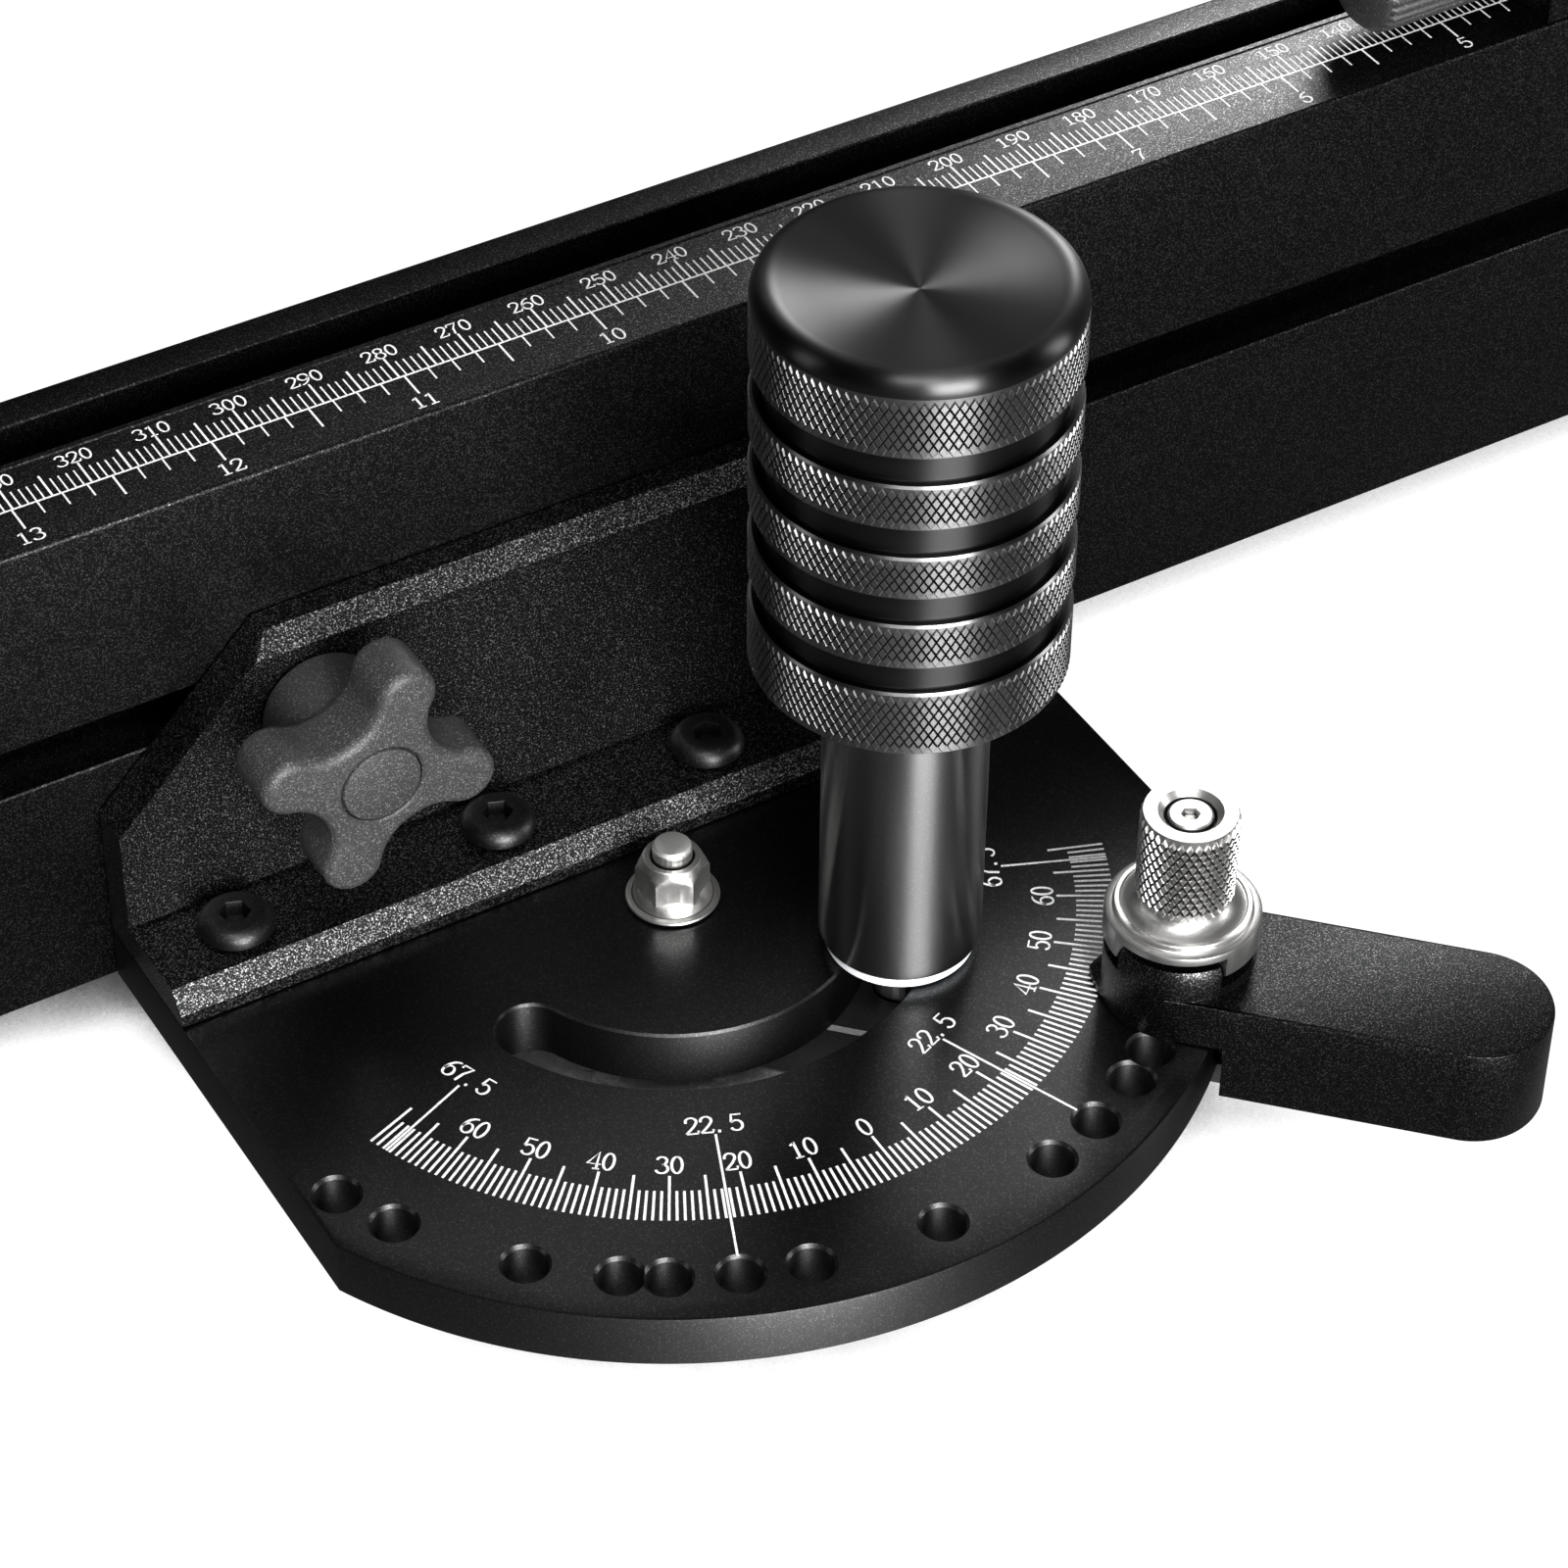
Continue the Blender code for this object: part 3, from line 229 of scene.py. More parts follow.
def new_material(name, values=None):
    """A material, its tree and its shader, whose sockets get the values."""
    made = bpy.data.materials.new(name)
    made.use_nodes = True
    shader = made.node_tree.nodes["Principled BSDF"]
    for key, value in (values or {}).items():
        shader.inputs[key].default_value = value
    return made, made.node_tree, shader


def noise(tree, scale, detail):
    """Cloudy noise that stays with the object."""
    place = add_node(tree, "ShaderNodeTexCoord").outputs["Object"]
    sockets = {"Vector": place, "Scale": scale, "Detail": detail}
    return add_node(tree, "ShaderNodeTexNoise", sockets).outputs["Fac"]


def spread_to(tree, value, low, high):
    """A value from 0 to 1, spread between two others."""
    sockets = {"Value": value, "To Min": low, "To Max": high}
    return add_node(tree, "ShaderNodeMapRange", sockets).outputs["Result"]


def blend(tree, factor, first, second):
    """A mix of two colours."""
    sockets = {"Factor": factor, "A": first, "B": second}
    return add_node(tree, "ShaderNodeMix", sockets, data_type="RGBA").outputs["Result"]


def bumped(tree, height, strength, distance):
    """A normal from a height."""
    sockets = {"Height": height, "Strength": strength, "Distance": distance}
    return add_node(tree, "ShaderNodeBump", sockets).outputs["Normal"]


def grain_group():
    """Blasted grain under the anodising: bright flecks, soft mottling and a height for the bump."""
    group = bpy.data.node_groups.new("blasted_grain", "ShaderNodeTree")
    face = group.interface
    for label, usual in (("Grain Scale", 3500.0), ("Fleck Share", 0.04)):
        face.new_socket(label, in_out="INPUT", socket_type="NodeSocketFloat").default_value = usual
    for label in ("Fleck", "Mottle", "Height"):
        face.new_socket(label, in_out="OUTPUT", socket_type="NodeSocketFloat")
    given = add_node(group, "NodeGroupInput").outputs
    place = add_node(group, "ShaderNodeTexCoord").outputs["Object"]
    grains = {"Vector": place, "Scale": given["Grain Scale"]}
    fine = add_node(group, "ShaderNodeTexNoise", {**grains, "Detail": 2.0, "Roughness": 0.6}).outputs["Fac"]
    cells = add_node(group, "ShaderNodeTexVoronoi", grains)
    tint = add_node(group, "ShaderNodeSeparateColor", {0: cells.outputs["Color"]})
    picked = reckon(group, "LESS_THAN", tint.outputs[0], given["Fleck Share"])
    core = reckon(group, "LESS_THAN", cells.outputs["Distance"], 0.42)
    strength = reckon(group, "POWER", tint.outputs[1], 2.5)
    sparkle = reckon(group, "MULTIPLY", reckon(group, "MULTIPLY", picked, core), strength)
    sand = add_node(group, "ShaderNodeMapRange", {"Value": fine, "From Min": 0.54, "From Max": 0.76})
    both = {0: sparkle, 1: sand.outputs["Result"]}
    flecks = add_node(group, "ShaderNodeMath", both, operation="ADD", use_clamp=True).outputs[0]
    found = {"Fleck": flecks, "Mottle": noise(group, 45.0, 3.0), "Height": fine}
    add_node(group, "NodeGroupOutput", found)
    return group


GRAIN = grain_group()


def black_metal(name, dark, light, rough, scale, share, bump, spread=0.06, metal=1.0, depth=0.00004):
    """Black anodised metal. The flecks and the mottling come from the blasted grain."""
    made, tree, shader = new_material(name, {"Metallic": metal})
    amounts = {"Grain Scale": scale, "Fleck Share": share}
    grain = add_node(tree, "ShaderNodeGroup", node_tree=GRAIN)
    for key, value in amounts.items():
        grain.inputs[key].default_value = value
    tone = blend(tree, grain.outputs["Fleck"], (dark, dark, dark * 1.02, 1), (light, light, light, 1))
    level = spread_to(tree, grain.outputs["Mottle"], rough - spread, rough + spread)
    tree.links.new(tone, shader.inputs["Base Color"])
    tree.links.new(level, shader.inputs["Roughness"])
    tree.links.new(bumped(tree, grain.outputs["Height"], bump, depth), shader.inputs["Normal"])
    return made


FENCE_LEFT = -335.6
FENCE_RIGHT = 264.4
FENCE_FRONT = 29.5
FENCE_BACK = 57.1
FENCE_LOW = 9.8
FENCE_TOP = 79.3
FRONT_SLOT_Z = 47.5
TOP_SLOT_Y = 48.87
bm = bmesh.new()
r = 0.6
section = arc((FENCE_FRONT + r, FENCE_LOW + r), r, 180, 270, 5)
section += arc((FENCE_BACK - r, FENCE_LOW + r), r, 270, 360, 5)
section += arc((FENCE_BACK - r, FENCE_TOP - r), r, 0, 90, 5)
section += [(TOP_SLOT_Y + 3.33, FENCE_TOP), (TOP_SLOT_Y + 3.13, FENCE_TOP - 0.2)]
section += [(TOP_SLOT_Y + 3.13, FENCE_TOP - 3), (TOP_SLOT_Y + 6.2, FENCE_TOP - 3)]
section += [(TOP_SLOT_Y + 6.2, FENCE_TOP - 8.5), (TOP_SLOT_Y - 6.2, FENCE_TOP - 8.5)]
section += [(TOP_SLOT_Y - 6.2, FENCE_TOP - 3), (TOP_SLOT_Y - 3.13, FENCE_TOP - 3)]
section += [(TOP_SLOT_Y - 3.13, FENCE_TOP - 0.2), (TOP_SLOT_Y - 3.33, FENCE_TOP)]
section += [(44.82, FENCE_TOP), (44.6, FENCE_TOP - 0.25), (44.38, FENCE_TOP)]
section += arc((FENCE_FRONT + r, FENCE_TOP - r), r, 90, 180, 5)
section += [(FENCE_FRONT, FRONT_SLOT_Z + 3.7), (FENCE_FRONT + 0.2, FRONT_SLOT_Z + 3.5)]
section += [(FENCE_FRONT + 3, FRONT_SLOT_Z + 3.5), (FENCE_FRONT + 3, FRONT_SLOT_Z + 7.5)]
section += [(FENCE_FRONT + 9.5, FRONT_SLOT_Z + 7.5), (FENCE_FRONT + 9.5, FRONT_SLOT_Z - 7.5)]
section += [(FENCE_FRONT + 3, FRONT_SLOT_Z - 7.5), (FENCE_FRONT + 3, FRONT_SLOT_Z - 3.5)]
section += [(FENCE_FRONT + 0.2, FRONT_SLOT_Z - 3.5), (FENCE_FRONT, FRONT_SLOT_Z - 3.7)]
prism(bm, section, FENCE_LEFT, FENCE_RIGHT, "X")
fence = solid("fence_profile", bm)
bm = bmesh.new()


def block(low, high):
    """A rectangle's corners, with small round corners."""
    r = 1.0
    found = arc((low[0] + r, low[1] + r), r, 180, 270, 4)
    found += arc((high[0] - r, low[1] + r), r, 270, 360, 4)
    found += arc((high[0] - r, high[1] - r), r, 0, 90, 4)
    return found + arc((low[0] + r, high[1] - r), r, 90, 180, 4)


prism(bm, block((32.5, 12.8), (54.1, 37.0)), FENCE_LEFT - 5, FENCE_RIGHT + 5, "X")
prism(bm, block((42.0, 40.0), (54.1, 55.0)), FENCE_LEFT - 5, FENCE_RIGHT + 5, "X")
prism(bm, block((32.5, 58.0), (54.1, 67.8)), FENCE_LEFT - 5, FENCE_RIGHT + 5, "X")
carve(fence, bm)
fence_black = black_metal("fence_black", 0.018, 0.2, 0.32, 4600.0, 0.25, 0.6)
dress(fence, fence_black, "fence", ["fence"])

# The rule on the fence's top is cut by laser through the black: a base line, millimetres behind it
# and eighths of an inch before it, read from the fence's right end, with their numbers.
mark_white, tree, shader = new_material("mark_white", {"Roughness": 0.6})
limits = {"From Min": 0.35, "From Max": 0.6, "To Min": 0.55, "To Max": 0.85}
tone = add_node(tree, "ShaderNodeMapRange", {"Value": noise(tree, 5000.0, 1.0), **limits})
tree.links.new(tone.outputs["Result"], shader.inputs["Base Color"])
MARK_HIGH = 0.015
MARK_DEEP = 0.05


def socket_of(group, name):
    """The identifier of a node group's named input."""
    for item in group.interface.items_tree:
        if item.item_type == "SOCKET" and item.in_out == "INPUT" and item.name == name:
            return item.identifier


def end_tree(group, puts, material):
    """The last steps of each tree: copies made real, painted and handed out."""
    real = add_node(group, "GeometryNodeRealizeInstances", {"Geometry": puts.outputs["Instances"]})
    painted = {"Geometry": real.outputs["Geometry"], "Material": material}
    paint = add_node(group, "GeometryNodeSetMaterial", painted)
    add_node(group, "NodeGroupOutput", {"Geometry": paint.outputs["Geometry"]})


def tick_tree(name, ring):
    """Geometry nodes for a row of ticks: along X for a rule, or round the pivot for a protractor."""
    group = bpy.data.node_groups.new(name, "GeometryNodeTree")
    face = group.interface
    face.new_socket("Geometry", in_out="INPUT", socket_type="NodeSocketGeometry")
    face.new_socket("Count", in_out="INPUT", socket_type="NodeSocketInt")
    for label in ("Start", "Step", "Near", "Far", "Width", "Top", "Thickness"):
        face.new_socket(label, in_out="INPUT", socket_type="NodeSocketFloat")
    face.new_socket("Material", in_out="INPUT", socket_type="NodeSocketMaterial")
    face.new_socket("Geometry", in_out="OUTPUT", socket_type="NodeSocketGeometry")
    given = add_node(group, "NodeGroupInput").outputs
    near, far, thick = given["Near"], given["Far"], given["Thickness"]
    start = {"Count": given["Count"], "Offset": (0, 0, 0)}
    line = add_node(group, "GeometryNodeMeshLine", start, mode="OFFSET")
    sizes = {"X": given["Width"], "Y": reckon(group, "SUBTRACT", far, near), "Z": thick}
    size = add_node(group, "ShaderNodeCombineXYZ", sizes)
    bar = add_node(group, "GeometryNodeMeshCube", {"Size": size.outputs[0]})
    middle = reckon(group, "MULTIPLY", reckon(group, "ADD", far, near), 0.5)
    lift = reckon(group, "SUBTRACT", given["Top"], reckon(group, "MULTIPLY", thick, 0.5))
    if ring:
        middle = reckon(group, "MULTIPLY", middle, -1.0)
    shift = add_node(group, "ShaderNodeCombineXYZ", {"Y": middle, "Z": lift})
    moving = {"Geometry": bar.outputs["Mesh"], "Translation": shift.outputs[0]}
    moved = add_node(group, "GeometryNodeTransform", moving)
    number = add_node(group, "GeometryNodeInputIndex").outputs[0]
    run = reckon(group, "ADD", given["Start"], reckon(group, "MULTIPLY", given["Step"], number))
    spot = add_node(group, "ShaderNodeCombineXYZ", {"Z" if ring else "X": run}).outputs[0]
    copies = {"Points": line.outputs["Mesh"], "Rotation": spot, "Instance": moved.outputs["Geometry"]}
    if not ring:
        along = {"Geometry": line.outputs["Mesh"], "Position": spot}
        where = add_node(group, "GeometryNodeSetPosition", along)
        copies = {"Points": where.outputs["Geometry"], "Instance": moved.outputs["Geometry"]}
    end_tree(group, add_node(group, "GeometryNodeInstanceOnPoints", copies), given["Material"])
    return group


def ticks(bm, group, count, start, step, near, far, width, top):
    """Runs a tick tree and adds its plain mesh to a bmesh in millimetres."""
    seed = bpy.data.objects.new("ticks", bpy.data.meshes.new("ticks"))
    scene.collection.objects.link(seed)
    rule = seed.modifiers.new("ticks", "NODES")
    rule.node_group = group
    values = {"Count": count, "Start": start, "Step": step, "Near": near, "Far": far}
    values.update({"Width": width, "Top": top, "Thickness": MARK_HIGH + MARK_DEEP, "Material": mark_white})
    for label, value in values.items():
        rule[socket_of(group, label)] = value if label in ("Count", "Material") else float(value)
    graph = bpy.context.evaluated_depsgraph_get()
    mesh = bpy.data.meshes.new_from_object(seed.evaluated_get(graph), depsgraph=graph)
    bm.from_mesh(mesh)
    bpy.data.objects.remove(seed, do_unlink=True)


def ellipse(cx, cy, rx, ry, start, end, count=14):
    """Points on part of an ellipse, for a digit's curve."""
    found = []
    for step in range(count):
        angle = radians(start + (end - start) * step / (count - 1))
        found.append((cx + rx * cos(angle), cy + ry * sin(angle)))
    return found


# Each digit's strokes in a cell half as wide as it is high, drawn as the engraver's tool runs.
six = ellipse(0.44, 0.32, 0.38, 0.64, 88, 176, 10) + ellipse(0.25, 0.3, 0.19, 0.29, 176, 536, 22)
STROKES = {
    "0": [ellipse(0.25, 0.5, 0.18, 0.48, 0, 360, 24)],
    "1": [[(0.1, 0.8), (0.18, 0.86), (0.25, 0.98), (0.25, 0.02)], [(0.1, 0.02), (0.4, 0.02)]],
    "2": [ellipse(0.25, 0.74, 0.18, 0.24, 195, -25, 14) + [(0.3, 0.4), (0.05, 0.04)],
          [(0.05, 0.03), (0.44, 0.03), (0.46, 0.2)]],
    "3": [ellipse(0.24, 0.75, 0.17, 0.22, 165, -90, 14), ellipse(0.23, 0.28, 0.21, 0.26, 90, -165, 16)],
    "4": [[(0.37, 0.0), (0.37, 0.99), (0.03, 0.29), (0.49, 0.29)], [(0.24, 0.01), (0.48, 0.01)]],
    "5": [[(0.43, 0.96), (0.11, 0.96), (0.08, 0.52)], ellipse(0.24, 0.31, 0.2, 0.3, 140, -155, 16)],
    "6": [six],
    "7": [[(0.06, 0.78), (0.07, 0.96), (0.45, 0.96), (0.26, 0.5), (0.2, 0.0)]],
    "8": [ellipse(0.25, 0.75, 0.16, 0.22, 0, 360, 20), ellipse(0.25, 0.27, 0.19, 0.26, 0, 360, 22)],
    "9": [[(0.5 - x, 1.0 - y) for x, y in six]],
    ".": [[(0.1, 0.06), (0.2, 0.06)]],
}
THIN = 0.036
THICK = 0.062


def write(bm, words, cell, high, centre, along, up, top):
    """Strokes of a number on a flat face: its base line's middle, its directions and the face's height."""
    for place, letter in enumerate(words):
        for stroke in STROKES[letter]:
            left = (place - len(words) / 2) * cell
            scale = cell * 2.0
            row = []
            for i, (x, y) in enumerate(stroke):
                before = stroke[max(i - 1, 0)]
                after = stroke[min(i + 1, len(stroke) - 1)]
                dx = (after[0] - before[0]) * scale
                dy = (after[1] - before[1]) * high
                length = hypot(dx, dy) or 1.0
                half = (THIN + (THICK - THIN) * abs(dy) / length) * high
                if letter == ".":
                    half = 0.075 * high
                for side in (1, -1):
                    u = left + x * scale - side * half * dy / length
                    v = y * high + side * half * dx / length
                    spot = Vector(centre) + u * Vector(along) + v * Vector(up)
                    row.append(spot)
            lifted = []
            for height in (top + MARK_HIGH * 1.1, top - MARK_DEEP):
                lifted.append([bm.verts.new((p.x, p.y, height)) for p in row])
            upper, lower = lifted
            count = len(stroke)
            for i in range(count - 1):
                a, b, c, d = 2 * i, 2 * i + 1, 2 * i + 3, 2 * i + 2
                bm.faces.new((upper[a], upper[b], upper[c], upper[d]))
                bm.faces.new((lower[d], lower[c], lower[b], lower[a]))
                bm.faces.new((upper[d], lower[d], lower[a], upper[a]))
                bm.faces.new((upper[b], lower[b], lower[c], upper[c]))
            bm.faces.new((upper[0], lower[0], lower[1], upper[1]))
            last = 2 * count - 2
            bm.faces.new((upper[last], upper[last + 1], lower[last + 1], lower[last]))


def marks(name, bm, body):
    """A set of laser-cut marks as one piece."""
    bmesh.ops.recalc_face_normals(bm, faces=bm.faces)
    bmesh.ops.scale(bm, vec=(MM, MM, MM), verts=bm.verts)
    mesh = bpy.data.meshes.new(name)
    bm.to_mesh(mesh)
    bm.free()
    mesh.materials.clear()
    mesh.materials.append(mark_white)
    made = bpy.data.objects.new(name, mesh)
    scene.collection.objects.link(made)
    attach(made, body)


rule_ticks = tick_tree("rule_ticks", False)
BASE_Y = 37.42
INCH = 25.4
top = FENCE_TOP + MARK_HIGH
bm = bmesh.new()
ticks(bm, rule_ticks, 591, FENCE_RIGHT - 5, -1.0, BASE_Y, 40.5, 0.2, top)
ticks(bm, rule_ticks, 118, FENCE_RIGHT - 10, -5.0, BASE_Y, 41.6, 0.27, top + 0.001)
ticks(bm, rule_ticks, 187, FENCE_RIGHT - INCH / 4, -INCH / 8, 35.05, BASE_Y, 0.22, top)
ticks(bm, rule_ticks, 46, FENCE_RIGHT - INCH / 2, -INCH / 2, 33.5, BASE_Y, 0.27, top + 0.001)
ticks(bm, rule_ticks, 1, FENCE_RIGHT - 297.5, -1.0, BASE_Y - 0.13, BASE_Y + 0.13, 592.0, top + 0.002)
for value in range(10, 600, 10):
    write(bm, str(value), 1.55, 2.1, (FENCE_RIGHT - value, 41.78), (1, 0), (0, 1), FENCE_TOP)
for value in range(1, 24):
    write(bm, str(value), 1.7, 2.25, (FENCE_RIGHT - INCH * value, 30.85), (1, 0), (0, 1), FENCE_TOP)
marks("fence_rule", bm, "fence")

# The protractor plate: 7.7 mm aluminium plate with a round front, satin black.
# An arc slot lets the clamping stud pass, and the plunger's pin drops into the index holes at the rim.
PLATE_LOW = 9.8
PLATE_TOP = 17.5
PLATE_R = 70.0
HALF = 62.5
SLOT_R = 28.9
SLOT_END = 65.5
INDEX_R = 63.5
PLATE_BACK = 29.2
SCREW_ROW = 17.5
SCREW_PLACES = (-51.0, -15.0, 15.0, 51.0)


def on_plate(radius, angle):
    """The point at an angle read on the degree scale, 0 at the front and plus to the right."""
    return polar(radius, angle - 90.0)


def circle(radius, count):
    return [polar(radius, 360.0 * step / count) for step in range(count)]


def lathe(bm, profile, count=64, axis="Z", at=(0, 0, 0), closed=False):
    """A turned body through (radius, height) points."""
    skin(bm, [(circle(r, count), h) for r, h in profile], axis, at, closed)


def plate_outline(inset):
    radius = PLATE_R - inset
    side = HALF - inset
    reach = degrees(asin(side / radius))
    found = arc((0, 0), radius, -90 - reach, -90 + reach, 161)
    return found + [(side, PLATE_BACK - inset), (-side, PLATE_BACK - inset)]


def slot_outline(half):
    """The arc slot, its ends round."""
    left = on_plate(SLOT_R, -SLOT_END)
    right = on_plate(SLOT_R, SLOT_END)
    found = arc((0, 0), SLOT_R + half, -90 - SLOT_END, -90 + SLOT_END, 97)
    found += arc(right, half, -90 + SLOT_END, 90 + SLOT_END, 31)[1:-1]
    found += arc((0, 0), SLOT_R - half, -90 + SLOT_END, -90 - SLOT_END, 97)
    found += arc(left, half, 90 - SLOT_END, 270 - SLOT_END, 31)[1:-1]
    return found


bm = bmesh.new()
rings = [(plate_outline(0.45), PLATE_LOW), (plate_outline(0.1), PLATE_LOW + 0.1)]
rings += [(plate_outline(0.0), PLATE_LOW + 0.45), (plate_outline(0.0), PLATE_TOP - 0.45)]
rings += [(plate_outline(0.1), PLATE_TOP - 0.1), (plate_outline(0.45), PLATE_TOP)]
skin(bm, rings)
plate = solid("protractor", bm)
bm = bmesh.new()
rings = [(slot_outline(4.4), PLATE_LOW - 2), (slot_outline(4.4), PLATE_TOP - 0.3)]
rings += [(slot_outline(4.7), PLATE_TOP), (slot_outline(4.7), PLATE_TOP + 2)]
skin(bm, rings)
hole = [(2.7, PLATE_LOW - 2), (2.7, PLATE_TOP - 0.4), (3.1, PLATE_TOP), (3.1, PLATE_TOP + 2)]
for angle in (-67.5, -60.0, -45.0, -30.0, -22.5, -15.0, 0.0, 15.0, 22.5, 30.0, 45.0, 60.0, 67.5):
    lathe(bm, hole, 48, at=(*on_plate(INDEX_R, angle), 0))
lathe(bm, [(5.0, PLATE_LOW - 2), (5.0, PLATE_TOP + 2)])
carve(plate, bm)
bm = bmesh.new()
for angle in (-35.0, 35.0):
    lathe(bm, hole, 48, at=(*on_plate(INDEX_R, angle), 0))
for place in SCREW_PLACES:
    lathe(bm, [(2.8, PLATE_LOW - 2), (2.8, PLATE_TOP + 2)], 32, at=(place, SCREW_ROW, 0))
carve(plate, bm)
plate_black = black_metal("plate_black", 0.045, 0.12, 0.3, 4600.0, 0.04, 0.12, 0.03)
tree = plate_black.node_tree
shader = tree.nodes["Principled BSDF"]
facing = add_node(tree, "ShaderNodeSeparateXYZ", {0: add_node(tree, "ShaderNodeTexCoord").outputs["Normal"]})
limits = {"Value": facing.outputs["Z"], "From Min": 0.9, "From Max": 0.3, "To Max": 0.8}
rim = add_node(tree, "ShaderNodeMapRange", limits).outputs["Result"]
upright = add_node(tree, "ShaderNodeCombineXYZ", {"Z": 1.0})
mottled = shader.inputs["Roughness"].links[0].from_socket
tree.links.new(reckon(tree, "MULTIPLY_ADD", rim, 0.2, mottled), shader.inputs["Roughness"])
tree.links.new(rim, shader.inputs["Anisotropic"])
tree.links.new(upright.outputs[0], shader.inputs["Tangent"])
dress(plate, plate_black, "head", ["protractor_plate"])

ring_ticks = tick_tree("ring_ticks", True)
top = PLATE_TOP + MARK_HIGH
bm = bmesh.new()
ticks(bm, ring_ticks, 141, radians(-70), radians(1), 50.0, 54.65, 0.33, top)
ticks(bm, ring_ticks, 29, radians(-70), radians(5), 47.6, 50.1, 0.33, top + 0.001)
ticks(bm, ring_ticks, 2, radians(-22.5), radians(45), 41.2, 60.7, 0.3, top + 0.002)
ticks(bm, ring_ticks, 2, radians(-67.5), radians(135), 41.3, 54.65, 0.3, top + 0.002)
for angle in range(-60, 70, 10):
    up = (-sin(radians(angle)), cos(radians(angle)))
    along = (cos(radians(angle)), sin(radians(angle)))
    write(bm, str(abs(angle)), 1.72, 2.75, on_plate(47.2, angle), along, up, PLATE_TOP)
for angle in (-67.5, -22.5, 22.5, 67.5):
    up = (-sin(radians(angle)), cos(radians(angle)))
    along = (cos(radians(angle)), sin(radians(angle)))
    write(bm, str(abs(angle)), 1.78, 2.75, on_plate(40.9, angle), along, up, PLATE_TOP)
marks("degree_scale", bm, "head")

# The fence bracket: an aluminium angle, sawn, blasted and anodised black, its wall's corners clipped.
# Four screws hold its foot on the plate, and two bolts clamp the fence to its wall.
bm = bmesh.new()
FOOT = PLATE_TOP + 0.3
FLOOR = PLATE_TOP + 4.7
WALL_TOP = PLATE_TOP + 41.5
BOLT_OUT = 35.6
section = [(9.2, FOOT), (PLATE_BACK, FOOT), (PLATE_BACK, WALL_TOP), (25.9, WALL_TOP), (23.4, WALL_TOP - 2.3)]
section += [(23.4, FLOOR + 0.45), (23.9, FLOOR + 0.45), (23.9, FLOOR), (11.5, FLOOR), (9.2, FOOT + 1.8)]
prism(bm, section, -HALF, HALF, "X")
bracket = solid("bracket", bm)
bm = bmesh.new()
rise = PLATE_TOP + 82.2
for lean in (-1, 1):
    clip = [(lean * (HALF + 5), rise - HALF - 5), (lean * (HALF + 5), rise)]
    clip.append((lean * (rise - WALL_TOP - 5), WALL_TOP + 5))
    prism(bm, clip, 18.4, 34.2, "Y")
for place in SCREW_PLACES:
    lathe(bm, [(2.8, FOOT - 1), (2.8, FLOOR + 1)], 32, at=(place, SCREW_ROW, 0))
for place in (-BOLT_OUT, BOLT_OUT):
    lathe(bm, [(3.3, 21.4), (3.3, 31.2)], 48, "Y", (place, 0, FRONT_SLOT_Z))
carve(bracket, bm)
bracket_black = black_metal("bracket_black", 0.012, 0.45, 0.38, 4400.0, 0.3, 1.0, depth=0.00005)
dress(bracket, bracket_black, "head", ["fence_bracket"], 0.22)

# Four black-oxide button-head screws hold the bracket on the plate, through its foot.
# Each has a domed head with a hexagon socket.


def hexagon(across, count):
    found = []
    for step in range(count):
        angle = 360.0 * step / count
        found.append(polar(across / 2 / cos(radians((angle + 30.0) % 60.0 - 30.0)), angle))
    return found


oxide = black_metal("black_oxide", 0.035, 0.1, 0.42, 4000.0, 0.05, 0.2)
seat = FLOOR + 0.3
bm = bmesh.new()
rings = [(circle(2.0, 60), PLATE_LOW + 1.2), (circle(2.5, 60), PLATE_LOW + 1.7), (circle(2.5, 60), seat)]
rings += [(circle(4.6, 60), seat), (circle(4.75, 60), seat + 0.15), (circle(4.75, 60), seat + 0.45)]
for step in range(1, 9):
    lean = radians(12 + 66 * step / 9)
    rings.append((circle(2.05 + 2.7 * cos(lean) ** 0.8, 60), seat + 0.45 + 1.9 * sin(lean)))
rings += [(circle(2.05, 60), seat + 2.33), (hexagon(3.5, 60), seat + 2.32), (hexagon(3.4, 60), seat + 2.2)]
rings += [(hexagon(3.4, 60), seat + 0.1), (circle(0.01, 60), seat)]
skin(bm, rings)
screw = solid("screw_form", bm)
group = bpy.data.node_groups.new("screw_row", "GeometryNodeTree")
face = group.interface
face.new_socket("Geometry", in_out="INPUT", socket_type="NodeSocketGeometry")
face.new_socket("Screw", in_out="INPUT", socket_type="NodeSocketObject")
face.new_socket("Seed", in_out="INPUT", socket_type="NodeSocketInt")
face.new_socket("Material", in_out="INPUT", socket_type="NodeSocketMaterial")
face.new_socket("Geometry", in_out="OUTPUT", socket_type="NodeSocketGeometry")
given = add_node(group, "NodeGroupInput").outputs
form = add_node(group, "GeometryNodeObjectInfo", {"Object": given["Screw"]})
spin = add_node(group, "FunctionNodeRandomValue", {"Seed": given["Seed"]}, data_type="FLOAT_VECTOR")
spin.inputs["Min"].default_value = (0, 0, 0)
spin.inputs["Max"].default_value = (0, 0, radians(60))
copies = {"Points": given["Geometry"], "Instance": form.outputs["Geometry"], "Rotation": spin.outputs[0]}
end_tree(group, add_node(group, "GeometryNodeInstanceOnPoints", copies), given["Material"])
spots = bpy.data.meshes.new("screw_spots")
spots.from_pydata([(x * MM, SCREW_ROW * MM, 0.0) for x in SCREW_PLACES], [], [])
seed = bpy.data.objects.new("screw_spots", spots)
scene.collection.objects.link(seed)
rule = seed.modifiers.new("screws", "NODES")
rule.node_group = group
rule[socket_of(group, "Screw")] = screw
rule[socket_of(group, "Seed")] = 4
rule[socket_of(group, "Material")] = oxide
graph = bpy.context.evaluated_depsgraph_get()
